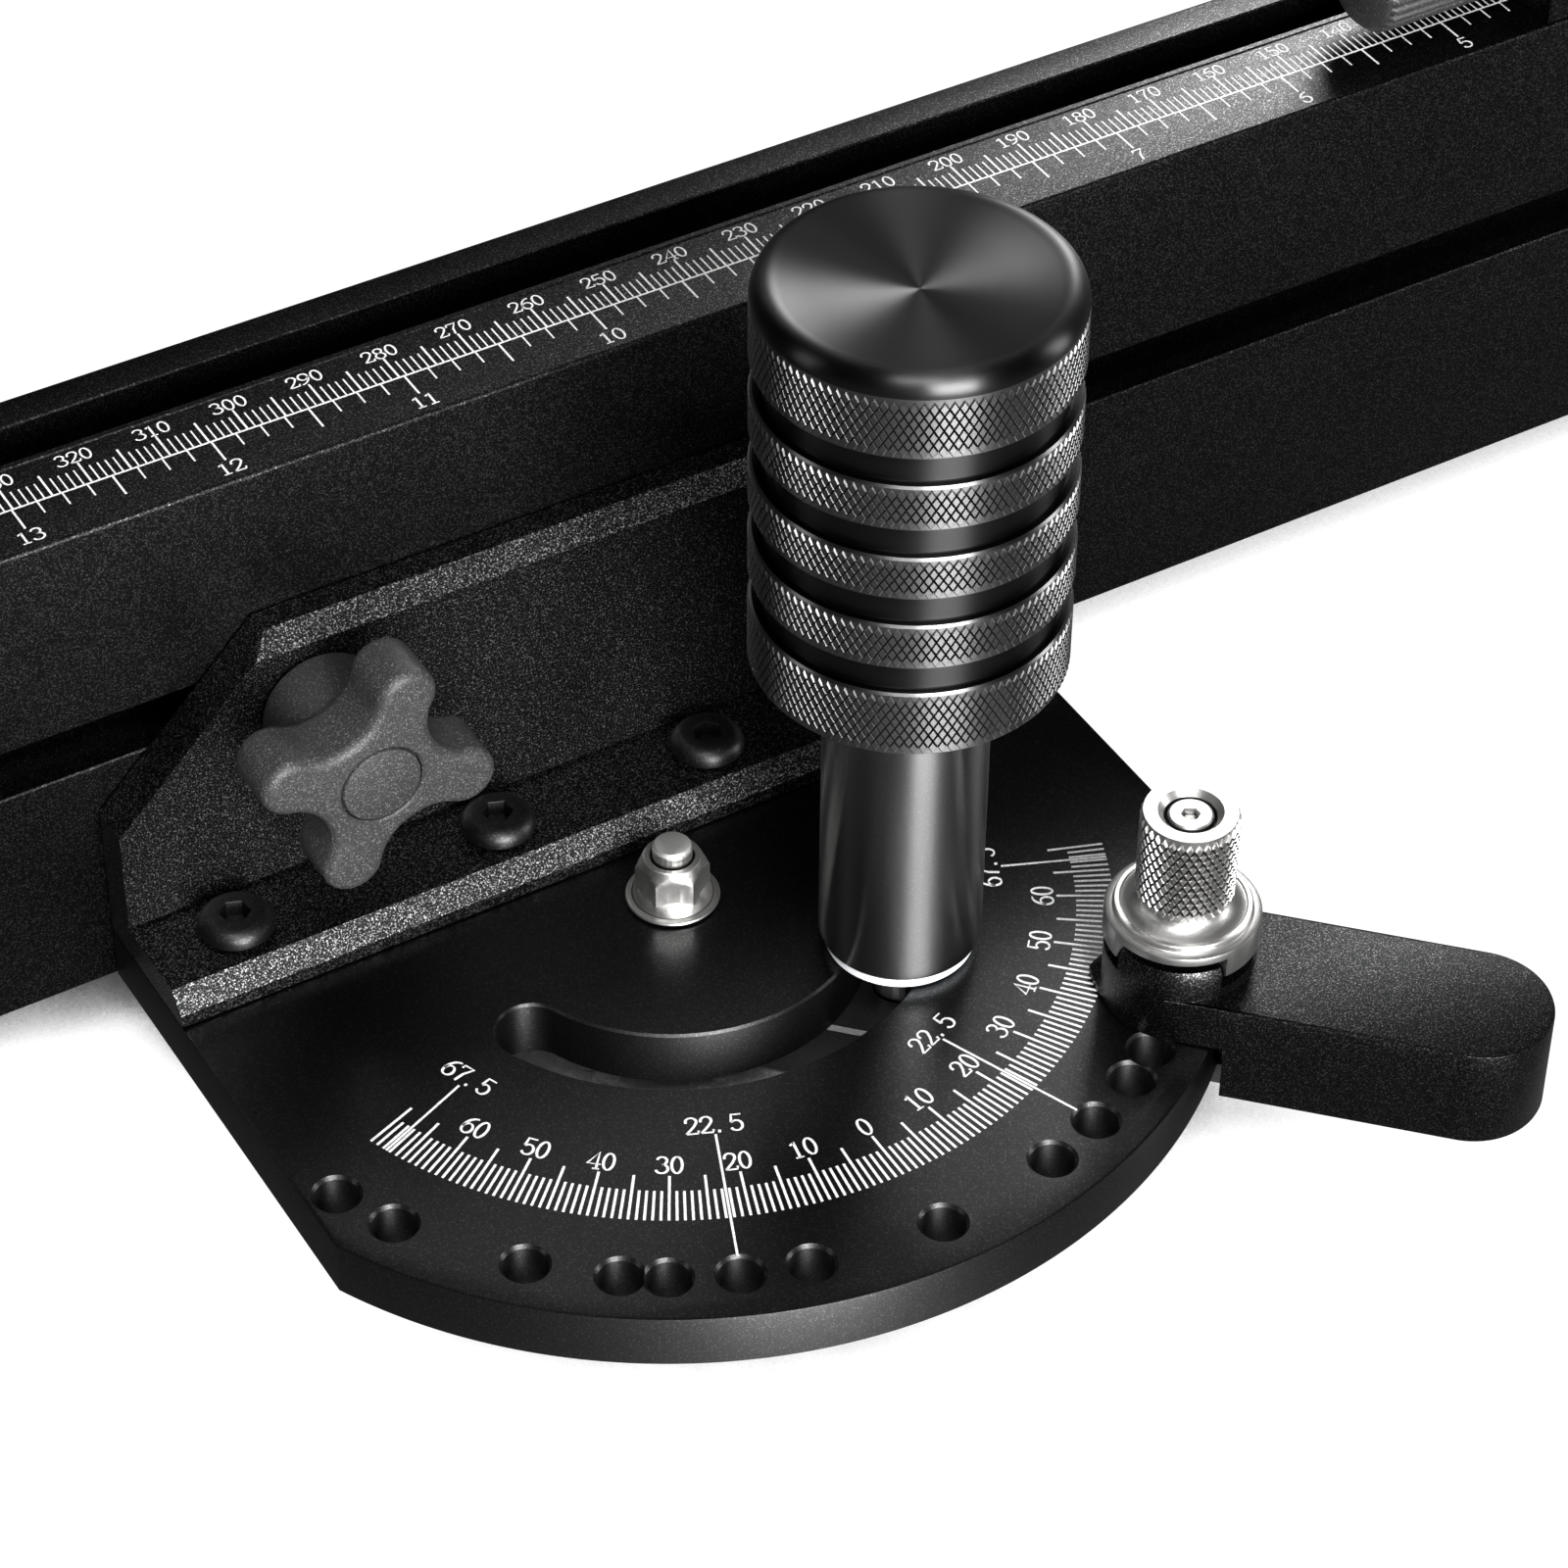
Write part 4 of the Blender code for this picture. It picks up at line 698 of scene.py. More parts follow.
mesh = bpy.data.meshes.new_from_object(seed.evaluated_get(graph), depsgraph=graph)
bpy.data.objects.remove(seed, do_unlink=True)
bpy.data.objects.remove(screw, do_unlink=True)
screws = bpy.data.objects.new("bracket_screws", mesh)
scene.collection.objects.link(screws)
dress(screws, oxide, "head", [f"bracket_screw_{n}" for n in (1, 2, 3, 4)])


# The pivot: a zinc-plated bolt from below with a flanged lock nut on its tip.
# The plate turns round it on a brass bush.
def dirtied(tree, unshaded, distance, samples, levels):
    """Painted shade: a colour that goes black in corners, by ambient occlusion. Levels are From Min, From Max
    and To Min.
    """
    hollow = add_node(tree, "ShaderNodeAmbientOcclusion", {"Distance": distance}, samples=samples)
    limits = dict(zip(("From Min", "From Max", "To Min"), levels))
    corner_shade_mask = add_node(tree, "ShaderNodeMapRange", {"Value": hollow.outputs["AO"], **limits})
    return blend(tree, corner_shade_mask.outputs["Result"], (0, 0, 0, 1), unshaded)


def bright_metal(name, tone, rough, scale, bump, wear=0.12):
    """Plated or stainless steel with fine scratches and faint stains, and painted shade that blackens its
    grooves and tight corners.
    """
    made, tree, shader = new_material(name, {"Metallic": 1.0})
    fine = noise(tree, scale, 3.0)
    broad = noise(tree, scale / 12, 2.0)
    shade = blend(tree, broad, (*[c * 0.82 for c in tone], 1), (*tone, 1))
    # Painted shade: ambient occlusion darkens the base colour in grooves and tight corners.
    tree.links.new(dirtied(tree, shade, 0.0006, 16, (0.35, 0.8, 0.06)), shader.inputs["Base Color"])
    level = spread_to(tree, fine, rough - wear / 2, rough + wear / 2)
    tree.links.new(level, shader.inputs["Roughness"])
    tree.links.new(bumped(tree, fine, bump, 0.00003), shader.inputs["Normal"])
    return made


zinc = bright_metal("zinc_plate", (0.5, 0.495, 0.48), 0.4, 2500.0, 0.5, 0.2)
steel = bright_metal("stainless", (0.55, 0.545, 0.535), 0.36, 3000.0, 0.5, 0.2)


def thread(bm, radius, depth, low, high, pitch, count=48, tip=0.6, at=(0, 0, 0)):
    """A screw thread with a chamfered tip, wound as one rising ridge."""
    steps = 8
    rows = []
    turns = int((high - low) / pitch * steps)
    for row in range(turns + 1):
        base = low + (high - low) * row / turns
        ring = []
        for step in range(count):
            phase = (base / pitch - step / count) % 1.0
            wave = abs(2 * phase - 1)
            limit = radius - max(0.0, base - (high - tip)) * 0.9
            ring.append(polar(min(radius - depth * wave, limit), 360.0 * step / count))
        rows.append((ring, base))
    skin(bm, rows, at=at)


bm = bmesh.new()
thread(bm, 2.48, 0.36, PLATE_TOP + 2.0, PLATE_TOP + 8.93, 0.7, 48, 0.4)
tip = solid("pivot_thread", bm)
sawn = bright_metal("sawn_tip", (0.6, 0.6, 0.59), 0.6, 2500.0, 0.6, 0.2)
dress(tip, sawn, "bar", (), 0.0, 50.0)
bm = bmesh.new()
low = PLATE_TOP + 0.3
count = 96


def capped(across, limit):
    """A hexagon cut back to a circle where its corners pass it."""
    found = hexagon(across, count)
    return [p if hypot(*p) < limit else polar(limit, degrees(atan2(p[1], p[0]))) for p in found]


def filled(across, least):
    """A hexagon filled out to a circle where its flats fall short of it."""
    found = hexagon(across, count)
    return [p if hypot(*p) > least else polar(least, degrees(atan2(p[1], p[0]))) for p in found]


rings = [(circle(2.6, count), low), (circle(5.6, count), low), (circle(5.85, count), low + 0.1)]
rings += [(circle(5.9, count), low + 0.25), (circle(5.8, count), low + 0.45), (circle(5.6, count), low + 0.53)]
rings += [(circle(5.1, count), low + 0.53), (circle(5.02, count), low + 0.4), (circle(4.98, count), low + 0.65)]
rings += [(circle(4.8, count), low + 1.1), (filled(8.0, 4.62), low + 1.55), (filled(8.0, 4.4), low + 1.75)]
rings += [(filled(8.0, 4.2), low + 1.95), (hexagon(8.0, count), low + 2.2), (hexagon(8.0, count), low + 4.95)]
rings += [(capped(8.0, 4.5), low + 5.1), (capped(8.0, 4.25), low + 5.45), (circle(3.98, count), low + 5.8)]
rings += [(circle(3.82, count), low + 6.2), (circle(3.62, count), low + 6.6), (circle(3.45, count), low + 6.72)]
rings += [(circle(2.95, count), low + 6.72), (circle(2.75, count), low + 6.6), (circle(2.6, count), low + 6.2)]
skin(bm, rings, closed=True)
nut = solid("flange_nut", bm, turn=4.0)
dress(nut, zinc, "bar", ["pivot_nut"], 0.0, 28.0)

# The clamping handle: one turned bar of aluminium, black anodised. A plain shank, then a grip with five
# knurled bands between turned grooves, and a shallow dish faced into its top.
STUD = on_plate(SLOT_R, 45.0)
GRIP_R = 18.85
GROOVE_R = 17.4
SHANK_R = 10.0
BANDS = ((46.6, 55.7), (59.4, 65.7), (69.5, 75.4), (79.3, 85.45), (89.2, 97.4))
DIAMONDS = 108


def knurl(bm, radius, depth, low, high, diamonds, slant=30.0, flat=0.72, ends=0.3):
    """A band of flat-topped diamonds between two chamfers, left by two crossing sets of slanted grooves."""
    count = diamonds * 2
    tall = pi * radius / diamonds / sin(radians(slant)) * cos(radians(slant))
    rows = max(2, round((high - low - 2 * ends) / tall))
    step_up = (high - low - 2 * ends) / rows

    def spot(row, step, sink):
        return Vector((*polar(radius - sink, 180.0 * step / diamonds), low + ends + step_up * row))

    grid = {}
    for row in range(rows + 1):
        for step in range(count):
            if (row + step) % 2 == 0 or row in (0, rows):
                grid[row, step] = bm.verts.new(spot(row, step, depth))
    for row in range(rows + 1):
        for step in range(count):
            if (row + step) % 2 == 0:
                continue
            left, right = grid[row, (step - 1) % count], grid[row, (step + 1) % count]
            if row in (0, rows):
                inner = grid[1 if row == 0 else rows - 1, step]
                bm.faces.new((left, grid[row, step], inner))
                bm.faces.new((grid[row, step], right, inner))
                continue
            corners = (left, grid[row - 1, step], right, grid[row + 1, step])
            middle = spot(row, step, 0.0)
            tops = []
            for place in ((row, step - 1), (row - 1, step), (row, step + 1), (row + 1, step)):
                tops.append(bm.verts.new(middle.lerp(spot(*place, 0.0), flat)))
            bm.faces.new(tops)
            for k in range(4):
                n = (k + 1) % 4
                bm.faces.new((corners[k], corners[n], tops[n], tops[k]))
    edges = [[grid[row, step] for step in range(count)] for row in (0, rows)]
    return edges[0], edges[1]


def bridge(bm, low, high):
    """Faces between two rings of the same count."""
    for i in range(len(low)):
        j = (i + 1) % len(low)
        bm.faces.new((low[i], low[j], high[j], high[i]))


def ring_at(bm, radius, z, count):
    return [bm.verts.new((*polar(radius, 360.0 * step / count), z)) for step in range(count)]


bm = bmesh.new()
count = DIAMONDS * 2
base = PLATE_TOP + 2.2
start = ring_at(bm, 3.3, PLATE_TOP + 34.0, count)
bm.faces.new(start[::-1])
last = start
for radius, z in ((3.3, base + 0.4), (3.7, base), (SHANK_R - 0.6, base), (SHANK_R - 0.15, base + 0.15),
                  (SHANK_R, base + 0.6), (SHANK_R, PLATE_TOP + 46.6)):
    ring = ring_at(bm, radius, z, count)
    bridge(bm, last, ring)
    last = ring
for number, (low, high) in enumerate(BANDS):
    low, high = PLATE_TOP + low, PLATE_TOP + high
    inner = SHANK_R if number == 0 else GROOVE_R
    if number:
        ring = ring_at(bm, GROOVE_R, low, count)
        bridge(bm, last, ring)
        last = ring
    ring = ring_at(bm, GRIP_R - 0.45, low, count)
    bridge(bm, last, ring)
    first, final = knurl(bm, GRIP_R, 0.2, low, high, DIAMONDS)
    bridge(bm, ring, first)
    last = final
    if number < len(BANDS) - 1:
        for radius, z in ((GRIP_R - 0.45, high), (GROOVE_R, high)):
            ring = ring_at(bm, radius, z, count)
            bridge(bm, last, ring)
            last = ring
crown = PLATE_TOP + 100.0
shoulder = PLATE_TOP + 97.75
rounded = [(GRIP_R - 2.3 + x, shoulder + y) for x, y in arc((0, 0), 2.25, 4, 86, 12)]
for radius, z in [(GRIP_R - 0.12, PLATE_TOP + 97.4)] + rounded:
    ring = ring_at(bm, radius, z, count)
    bridge(bm, last, ring)
    last = ring
DISH = [(16.3, 0.04), (15.9, 0.12), (15.4, 0.22), (12.0, 0.52)]
DISH += [(8.0, 0.87), (4.0, 1.22), (1.0, 1.47), (0.2, 1.53)]
for radius, drop in DISH:
    ring = ring_at(bm, radius, crown - drop, count)
    bridge(bm, last, ring)
    last = ring
bm.faces.new(last)
handle = solid("handle_turned", bm, (*STUD, 0))

turned, tree, shader = new_material("turned_black", {"Metallic": 1.0, "Anisotropic": 0.9})


def vector(operation, *values):
    """A vector math node of the handle's material."""
    return add_node(tree, "ShaderNodeVectorMath", dict(enumerate(values)), operation=operation)


place = add_node(tree, "ShaderNodeTexCoord").outputs["Object"]
centre = vector("SUBTRACT", place, (STUD[0] * MM, STUD[1] * MM, 0)).outputs[0]
flat = vector("MULTIPLY", centre, (1, 1, 0)).outputs[0]
reach = vector("LENGTH", flat).outputs["Value"]
across = vector("ADD", vector("NORMALIZE", flat).outputs[0], (0, 0, 1)).outputs[0]
ways = {"vector_type": "VECTOR", "convert_from": "OBJECT", "convert_to": "WORLD"}
world_way = add_node(tree, "ShaderNodeVectorTransform", {0: across}, **ways)
tree.links.new(world_way.outputs[0], shader.inputs["Tangent"])
height = add_node(tree, "ShaderNodeSeparateXYZ", {0: centre}).outputs["Z"]
line = add_node(tree, "ShaderNodeCombineXYZ", {"X": reckon(tree, "ADD", reach, height)})
strokes = {"Vector": line.outputs[0], "Scale": 9000.0, "Detail": 2.0}
lines = add_node(tree, "ShaderNodeTexNoise", strokes).outputs["Fac"]
tree.links.new(bumped(tree, lines, 0.3, 0.00001), shader.inputs["Normal"])
grain = add_node(tree, "ShaderNodeGroup", node_tree=GRAIN)
grain.inputs["Grain Scale"].default_value = 5000.0
grain.inputs["Fleck Share"].default_value = 0.02
shade = blend(tree, grain.outputs["Fleck"], (0.19, 0.19, 0.192, 1), (0.28, 0.28, 0.28, 1))
# Painted shade: ambient occlusion darkens the grooves between the bands and other hollows.
corner_shaded_tone = dirtied(tree, shade, 0.005, 8, (0.6, 0.88, 0.03))
# Painted shade: the dish, the rounded crown and the groove floors get a much darker base colour.
dished = reckon(tree, "GREATER_THAN", height, (PLATE_TOP + 97.45) * MM)
inner = reckon(tree, "LESS_THAN", reach, (GROOVE_R + 0.25) * MM)
above = reckon(tree, "GREATER_THAN", height, (PLATE_TOP + BANDS[0][0] + 0.1) * MM)
dark = reckon(tree, "MAXIMUM", dished, reckon(tree, "MULTIPLY", inner, above))
tree.links.new(blend(tree, dark, corner_shaded_tone, (0.045, 0.045, 0.045, 1)), shader.inputs["Base Color"])
tree.links.new(spread_to(tree, grain.outputs["Mottle"], 0.31, 0.37), shader.inputs["Roughness"])
dress(handle, turned, "handle", ["clamp_handle"], 0.0, 22.0)

# A white nylon washer lies under the handle's shank.
# It rides with the handle and keeps it off the plate.
nylon, tree, shader = new_material("white_nylon", {"Roughness": 0.4, "Subsurface Weight": 0.1})
tree.links.new(spread_to(tree, noise(tree, 300.0, 3.0), 0.68, 0.84), shader.inputs["Base Color"])
bm = bmesh.new()
low = PLATE_TOP + 0.3
ring = [(3.3, low), (8.95, low), (9.2, low + 0.25), (9.2, low + 1.35), (8.95, low + 1.6), (3.3, low + 1.6)]
lathe(bm, ring, 96, closed=True)
washer = solid("nylon_washer", bm, (*STUD, 0))
dress(washer, nylon, "handle", ["clamp_washer"])

# The star knobs: moulded black plastic with a sandy skin, four lobes, a hub round a brass insert, and a cap.
# Each draws one of the fence's T-bolts through the bracket's wall.
sandy = black_metal("sandy_plastic", 0.024, 0.13, 0.46, 4200.0, 0.3, 1.0, metal=0.0, depth=0.00008)
sandy.node_tree.nodes["Principled BSDF"].inputs["IOR"].default_value = 1.46
LOBE_R = 3.9
LOBE_OUT = 12.0
VALLEY_R = 6.65
LOBE_ANGLE = 70.0


def lobed(inset):
    """Four round lobes joined by hollow arcs, drawn inward by the inset."""
    reach = LOBE_R + VALLEY_R
    part = LOBE_OUT * cos(radians(45))
    out = part + sqrt(part * part - LOBE_OUT * LOBE_OUT + reach * reach)
    found = []
    for lobe in range(4):
        angle = LOBE_ANGLE + 90.0 * lobe
        tip = polar(LOBE_OUT, angle)
        hollow = polar(out, angle + 45.0)
        toward = degrees(atan2(hollow[1] - tip[1], hollow[0] - tip[0]))
        spread = (toward - angle + 180.0) % 360.0 - 180.0
        found += arc(tip, LOBE_R - inset, angle - spread, angle + spread, 23)
        turn = 2.0 * ((angle + 45.0 - toward + 180.0) % 360.0 - 180.0)
        found += arc(hollow, VALLEY_R + inset, toward + 180.0, toward + 180.0 + turn, 17)[1:-1]
    return found


def star_ring(radius):
    """A circle with its points at the star outline's own angles."""
    return [polar(radius, degrees(atan2(p[1], p[0]))) for p in lobed(0.0)]


for side, place in (("left", -BOLT_OUT), ("right", BOLT_OUT)):
    bm = bmesh.new()
    rings = [(star_ring(5.35), 1.6), (star_ring(5.35), 0.25), (star_ring(5.6), 0.0)]
    for step in range(0, 7):
        lean = radians(90 - 90 * step / 6)
        rings.append((lobed(1.35 * (1 - cos(lean))), 1.35 * (1 - sin(lean))))
    for step in range(0, 7):
        lean = radians(90 * step / 6)
        rings.append((lobed(1.35 * (1 - cos(lean))), 7.25 + 1.35 * sin(lean)))
    rings += [(star_ring(7.0), 8.6), (star_ring(7.2), 8.8), (star_ring(7.6), 16.6), (star_ring(7.2), 17.2)]
    rings += [(star_ring(5.1), 17.2), (star_ring(5.1), 4.0)]
    skin(bm, rings, "Y")
    star = solid(f"star_{side}", bm, (place, 5.9, FRONT_SLOT_Z))
    dress(star, sandy, f"star_{side}", [f"star_knob_{side}"], 0.0, 40.0)
    bm = bmesh.new()
    lathe(bm, [(5.1, 1.5), (5.1, 0.25), (5.0, 0.08), (4.8, 0.0)], 96, "Y")
    cap = solid(f"cap_{side}", bm, (place, 5.9, FRONT_SLOT_Z))
    dress(cap, sandy, f"star_{side}", [f"star_cap_{side}"])

# The index arm: a round-ended block of blasted aluminium screwed to the bar, over the plate at its near end.
# The boss on it carries the plunger. Two lugs stand up for the collar's windows to drop over.
TURN = -45.0
ARM_HALF = 9.25
BOSS_AT = INDEX_R
ARM_LOW = PLATE_LOW
ARM_TOP = PLATE_TOP + 6.7
LUG_TOP = PLATE_TOP + 11.0
NEAR, FAR = 61, 49
SIDES = (66.5, 71.0, 76.0, 83.0, 91.0)


def arm_ring(inset, pointed):
    """The arm's outline. Its chamfer starts beyond the boss, and the pointer reaches for the scale."""
    found = []
    for step in range(NEAR):
        angle = 90.0 + 180.0 * step / (NEAR - 1)
        radius = ARM_HALF
        lean = abs(angle - 180.0)
        if pointed and lean < 27.0:
            radius = ARM_HALF + 1.55 * (1 - lean / 27.0)
        x, y = polar(radius, angle)
        found.append((BOSS_AT + x, y))
    found += [(place, -ARM_HALF + inset) for place in SIDES]
    found += arc((99.75, 0), ARM_HALF - inset, -90, 90, FAR)
    found += [(place, ARM_HALF - inset) for place in reversed(SIDES)]
    return found


def boss_ring(radius):
    found = arc((BOSS_AT, 0), radius, 90, 270, NEAR)
    return found + arc((BOSS_AT, 0), radius, -90, 90, FAR + 2 * len(SIDES) + 2)[1:-1]


bm = bmesh.new()
rings = [(arm_ring(0.4, True), ARM_LOW), (arm_ring(0.1, True), ARM_LOW + 0.1)]
rings += [(arm_ring(0.0, True), ARM_LOW + 0.4)]
rings += [(arm_ring(0.0, True), PLATE_TOP + 1.2), (arm_ring(0.0, False), PLATE_TOP + 1.9)]
rings += [(arm_ring(0.0, False), ARM_TOP - 0.5), (arm_ring(0.12, False), ARM_TOP - 0.15)]
rings += [(arm_ring(0.5, False), ARM_TOP)]
rings += [(boss_ring(ARM_HALF), ARM_TOP), (boss_ring(ARM_HALF), LUG_TOP - 0.8)]
rings += [(boss_ring(ARM_HALF - 0.5), LUG_TOP)]
rings += [(boss_ring(4.3), LUG_TOP), (boss_ring(4.3), PLATE_TOP + 15.0)]
skin(bm, rings)
arm = solid("arm_block", bm, turn=TURN)


def sector(inner, outer, middle, width, count=25):
    far = arc((0, 0), outer, middle - width / 2, middle + width / 2, count)
    return far + arc((0, 0), inner, middle + width / 2, middle - width / 2, count)


bm = bmesh.new()
step_outline = [(45.0, -13.0), (71.0, -13.0), (71.0, 13.0), (45.0, 13.0)]
prism(bm, step_outline, ARM_LOW - 3, PLATE_TOP + 0.3)
carve(arm, bm, turn=TURN)
bm = bmesh.new()
bore = [(4.8, PLATE_TOP - 1), (4.8, PLATE_TOP + 2.6), (3.6, PLATE_TOP + 2.6), (3.6, PLATE_TOP + 13.8)]
lathe(bm, bore + [(2.7, PLATE_TOP + 13.8), (2.7, PLATE_TOP + 16)], 48, at=(BOSS_AT, 0, 0))
for middle in (0.0, 180.0):
    prism(bm, sector(7.2, 13.0, middle, 94.0), PLATE_TOP + 8.0, LUG_TOP + 2, at=(BOSS_AT, 0, 0))
for place in (80.0, 94.0):
    lathe(bm, [(1.55, ARM_LOW - 1), (1.55, ARM_LOW + 9)], 24, at=(place, 0, 0))
carve(arm, bm, turn=TURN)
arm_black = black_metal("arm_black", 0.016, 0.2, 0.34, 4800.0, 0.3, 0.7)
dress(arm, arm_black, "bar", ["index_arm"], 0.12)

# The plunger's knob: stainless steel, knurled, turned in one with a flanged collar that has two tabs.
# A socket screw sits in its top.
PIN = polar(BOSS_AT, TURN)
COLLAR_LOW = PLATE_TOP + 9.9
WINDOW = PLATE_TOP + 12.9
RIM = PLATE_TOP + 14.0
CROWN = PLATE_TOP + 29.3
SMALL = 34
bm = bmesh.new()
count = SMALL * 2
outer = [(7.5, PLATE_TOP + 13.3), (7.5, COLLAR_LOW), (9.3, COLLAR_LOW), (9.5, COLLAR_LOW + 0.2)]
outer += [(9.5, RIM - 0.3), (9.41, RIM - 0.09), (9.2, RIM), (8.55, RIM + 0.05), (8.4, RIM + 0.15)]
outer += [(8.4, RIM + 0.75), (8.25, RIM + 0.9), (7.75, RIM + 0.9), (7.6, RIM + 0.75), (7.3, RIM + 0.8)]
outer += [(6.6, RIM + 1.05), (6.0, RIM + 1.4), (5.6, RIM + 1.75), (5.4, RIM + 2.1)]
rows = [ring_at(bm, radius, z, count) for radius, z in outer]
for under, over in zip(rows, rows[1:]):
    bridge(bm, under, over)
first, final = knurl(bm, 6.0, 0.34, RIM + 2.1, CROWN - 0.1, SMALL, flat=0.6, ends=0.3)
bridge(bm, rows[-1], first)
top_rows = [(5.65, CROWN), (3.95, CROWN), (3.3, CROWN - 0.65), (3.2, CROWN - 0.75)]
top_rows += [(3.2, CROWN - 2.2), (1.8, CROWN - 2.2)]
top_rows += [(1.8, PLATE_TOP + 19.0), (4.6, PLATE_TOP + 19.0), (4.6, PLATE_TOP + 13.3)]
last = final
for radius, z in top_rows:
    ring = ring_at(bm, radius, z, count)
    bridge(bm, last, ring)
    last = ring
bridge(bm, last, rows[0])
knob = solid("plunger_grip", bm, (*PIN, 0), TURN)
bm = bmesh.new()
for middle in (90.0, 270.0):
    prism(bm, sector(6.2, 13.0, middle, 90.0), COLLAR_LOW - 2, WINDOW)
carve(knob, bm, (*PIN, 0), TURN)
dress(knob, steel, "plunger", ["plunger_knob"], 0.0, 24.0)
bm = bmesh.new()
seat = CROWN - 1.9
rings = [(circle(1.1, 72), PLATE_TOP + 14.2), (circle(1.5, 72), PLATE_TOP + 14.6), (circle(1.5, 72), seat)]
rings += [(circle(2.8, 72), seat), (circle(2.8, 72), seat + 1.0), (circle(2.72, 72), seat + 1.25)]
rings += [(circle(2.5, 72), seat + 1.4)]
rings += [(hexagon(2.1, 72), seat + 1.4), (hexagon(2.0, 72), seat + 1.3), (hexagon(2.0, 72), seat + 0.4)]
skin(bm, rings)
cap_screw = solid("plunger_cap_screw", bm, (*PIN, 0))
dress(cap_screw, steel, "plunger", ["plunger_screw"])

# The bar, the bolts and the plunger's inner pieces keep their CAD shapes and get their real finishes.
# The bar runs in the saw table's slot, and its grub screws take up play.
brass = bright_metal("brass", (0.74, 0.52, 0.22), 0.28, 2000.0, 0.2)
bar_black = black_metal("bar_oxide", 0.2, 0.3, 0.4, 3000.0, 0.02, 0.4)


def finish_nodes(material, *names):
    """Gives CAD nodes their material."""
    for name in names:
        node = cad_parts[name]
        node.data.materials.clear()
        node.data.materials.append(material)


finish_nodes(bar_black, "miter_bar")
finish_nodes(oxide, "bar_adjuster_1", "bar_adjuster_2", "bar_adjuster_3", "bar_adjuster_4")
finish_nodes(oxide, "arm_screw_1", "arm_screw_2")
finish_nodes(zinc, "pivot_bolt", "fence_bolt_left", "fence_bolt_right", "stop_bolt")
finish_nodes(brass, "pivot_bush", "plunger_bush", "star_insert_left", "star_insert_right")
finish_nodes(steel, "clamp_stud", "plunger_pin", "plunger_spring", "flip_pin")

# The flip stop: a black anodised block over the fence, with a clear window on the rule, a clamping knob,
# a side thumbscrew and a hinged arm that hangs against the fence's back face.
STOP_LEFT, STOP_RIGHT = 149.0, 181.0
STOP_LOW, STOP_TOP = FENCE_TOP + 0.3, FENCE_TOP + 12.3
MIDDLE = 165.0
FLIP = (64.0, 86.5)
SIDE_SCREW = (40.0, 88.4)
bm = bmesh.new()
section = [(FENCE_FRONT, STOP_LOW), (69.5, STOP_LOW), (69.5, FLIP[1])]
section += arc(FLIP, 5.5, 0, 90, 17)[1:]
section += [(FENCE_FRONT, STOP_TOP)]
prism(bm, section, STOP_LEFT, STOP_RIGHT, "X")
stop = solid("stop_block", bm)
bm = bmesh.new()
gate = [(STOP_LEFT + 4, 56.8), (STOP_RIGHT - 4, 56.8), (STOP_RIGHT - 4, 75.0), (STOP_LEFT + 4, 75.0)]
prism(bm, gate, STOP_LOW - 5, STOP_TOP + 5)
window = [(MIDDLE - 8, 32.0), (MIDDLE + 8, 32.0), (MIDDLE + 8, 43.0), (MIDDLE - 8, 43.0)]
prism(bm, window, STOP_LOW - 5, STOP_TOP + 5)
lathe(bm, [(2.8, STOP_LOW - 5), (2.8, STOP_TOP + 5)], 48, at=(MIDDLE, TOP_SLOT_Y, 0))
carve(stop, bm)
bm = bmesh.new()
lathe(bm, [(2.3, STOP_LEFT - 3), (2.3, STOP_RIGHT + 3)], 48, "X", (0, *FLIP))
lathe(bm, [(2.8, STOP_LEFT - 3), (2.8, STOP_LEFT + 6.5)], 48, "X", (0, *SIDE_SCREW))
carve(stop, bm)
dress(stop, fence_black, "stop", ["stop_body"], 0.35)

glass = {"Base Color": (0.96, 0.97, 0.97, 1), "Transmission Weight": 1.0, "IOR": 1.49}
clear, tree, shader = new_material("clear_window", glass)
tree.links.new(spread_to(tree, noise(tree, 400.0, 2.0), 0.02, 0.08), shader.inputs["Roughness"])
bm = bmesh.new()
pane = [(MIDDLE - 7.7, 32.3), (MIDDLE + 7.7, 32.3), (MIDDLE + 7.7, 42.7), (MIDDLE - 7.7, 42.7)]
prism(bm, pane, STOP_LOW, STOP_LOW + 3.0)
pane = solid("window_pane", bm)
dress(pane, clear, "stop", ["cursor_window"], 0.2)


def ribbed(radius, depth, ribs, count):
    """A knob's outline with even ribs."""
    found = []
    for step in range(count):
        angle = 360.0 * step / count
        found.append(polar(radius - depth * (0.5 - 0.5 * cos(radians(angle * ribs))) ** 1.4, angle))
    return found


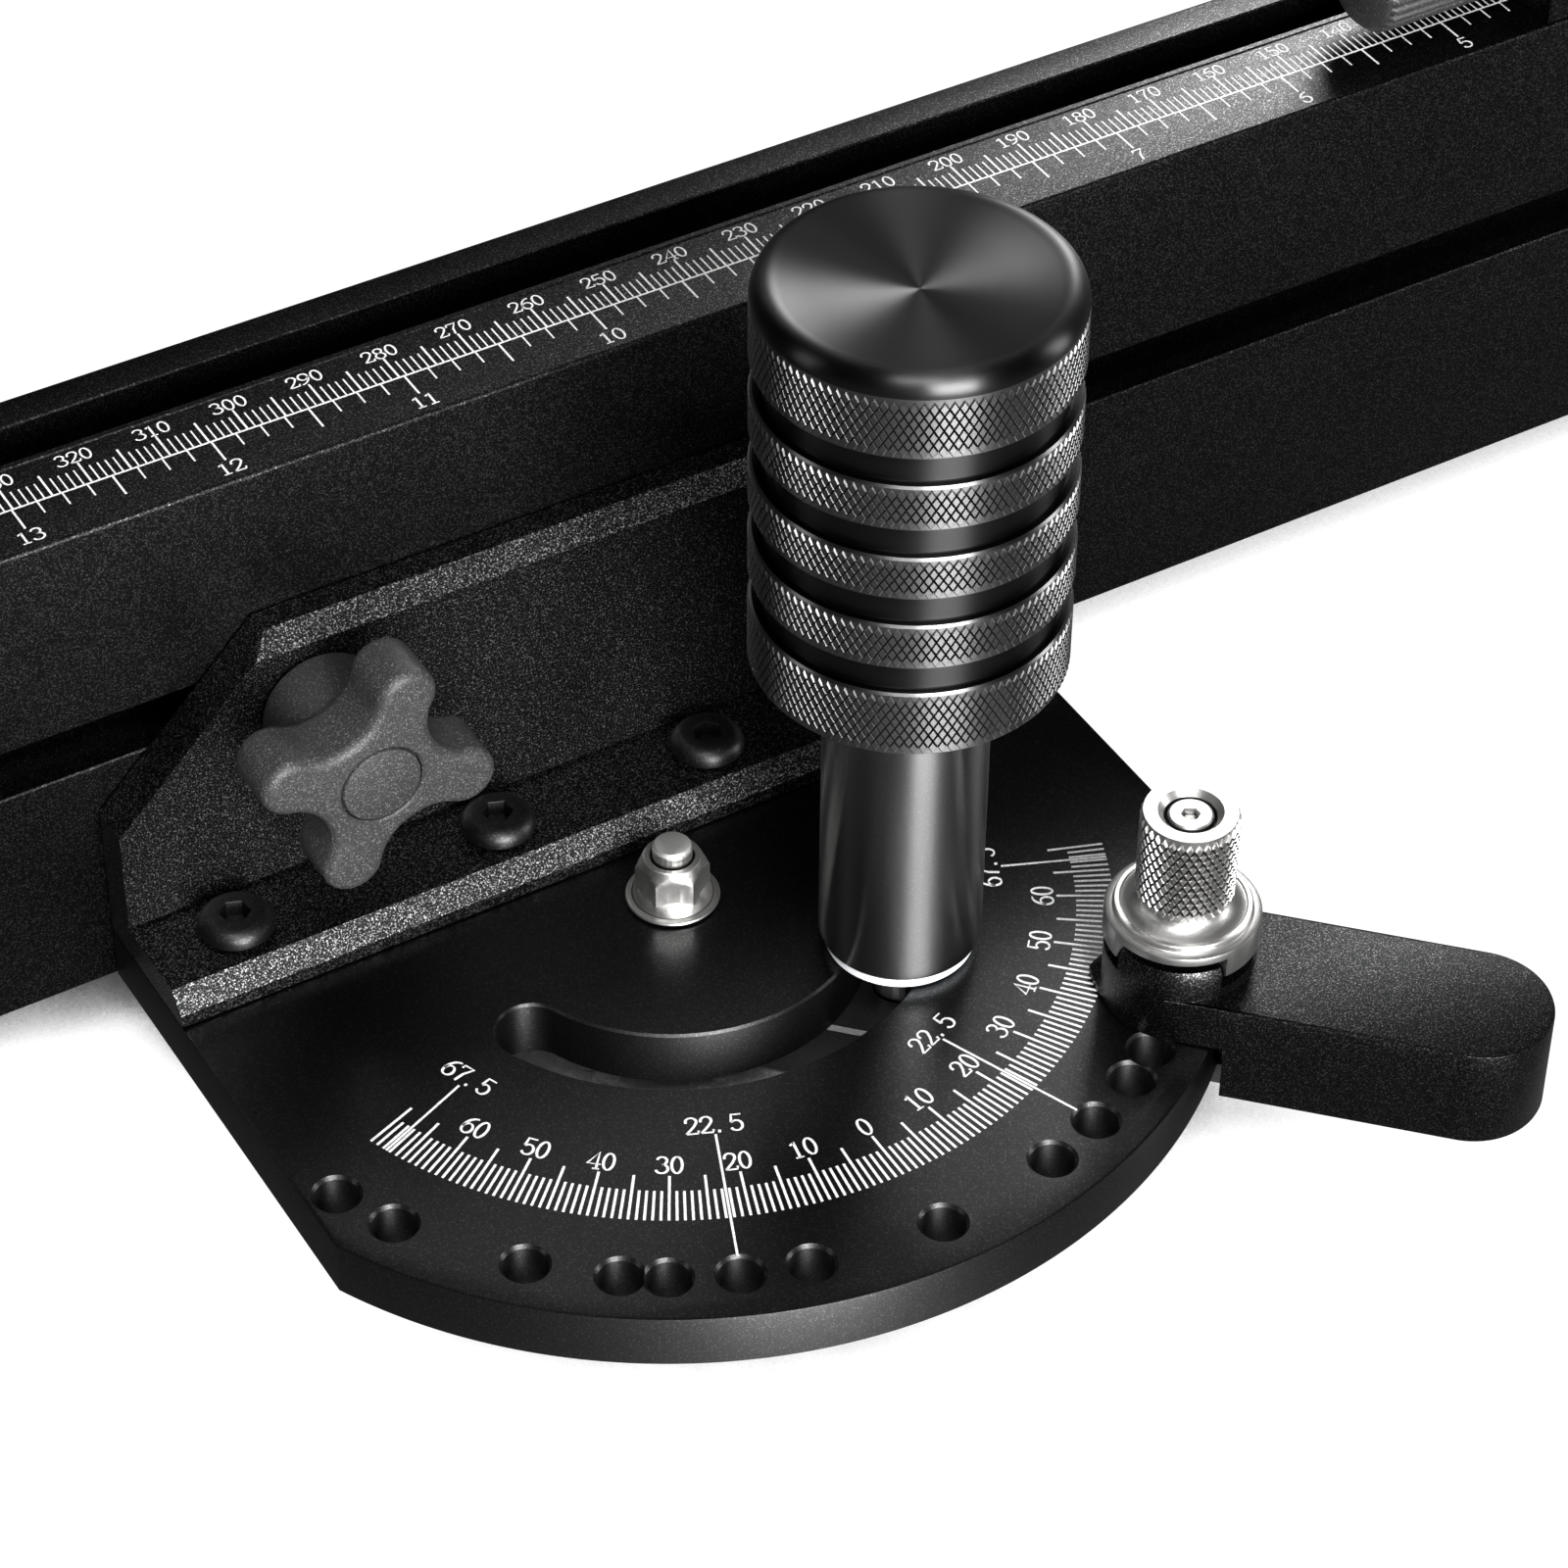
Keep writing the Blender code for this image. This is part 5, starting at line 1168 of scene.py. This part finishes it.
knob_black = black_metal("knob_plastic", 0.02, 0.1, 0.42, 3500.0, 0.03, 0.4, metal=0.0)
FINE = 288
bm = bmesh.new()
low = STOP_TOP + 0.3
ribs = ribbed(10.0, 0.7, 36, FINE)
rings = [(circle(2.8, FINE), low + 11.5), (circle(2.8, FINE), low), (circle(6.0, FINE), low)]
rings += [(circle(6.0, FINE), low + 3), (circle(9.1, FINE), low + 3), (ribs, low + 3.9), (ribs, low + 14.0)]
rings += [(circle(9.2, FINE), low + 14.6), (circle(8.6, FINE), low + 14.9), (circle(8.0, FINE), low + 15.0)]
rings += [(circle(4.0, FINE), low + 15.0), (circle(0.05, FINE), low + 14.6)]
skin(bm, rings)
stop_knob = solid("stop_thumb_knob", bm, (MIDDLE, TOP_SLOT_Y, 0))
dress(stop_knob, knob_black, "stop_knob", ["stop_knob"])
bm = bmesh.new()
rings = [(circle(0.05, FINE), 125.0), (circle(5.6, FINE), 125.0), (circle(6.5, FINE), 125.25)]
ribs = ribbed(7.5, 0.55, 30, FINE)
rings += [(circle(6.9, FINE), 125.7), (ribs, 126.3), (ribs, 146.4), (circle(6.6, FINE), 147.0)]
rings += [(circle(2.5, FINE), 147.0), (circle(2.5, FINE), 154.8), (circle(2.1, FINE), 155.2)]
skin(bm, rings, "X")
side_knob = solid("side_thumb_knob", bm, (0, *SIDE_SCREW))
dress(side_knob, knob_black, "side_screw", ["side_thumbscrew"])
bm = bmesh.new()
inner = 57.5 - FLIP[0]
outer_y = inner + 5.0
drop = 32.0 - FLIP[1]
lower = degrees(asin(outer_y / 5.5))
section = arc((0, 0), 5.5, -90 + lower, 180, 33)
section += [(inner, -4.0), (inner, drop + 1.0), (inner + 1.0, drop)]
section += [(outer_y - 1.0, drop), (outer_y, drop + 1.0)]
prism(bm, section, STOP_LEFT + 4.3, STOP_RIGHT - 4.3, "X")
flip = solid("flip_plate", bm, (0, *FLIP))
bm = bmesh.new()
lathe(bm, [(2.3, STOP_LEFT), (2.3, STOP_RIGHT)], 48, "X", (0, *FLIP))
carve(flip, bm)
dress(flip, fence_black, "flip_arm", ["flip_arm"], 0.3)
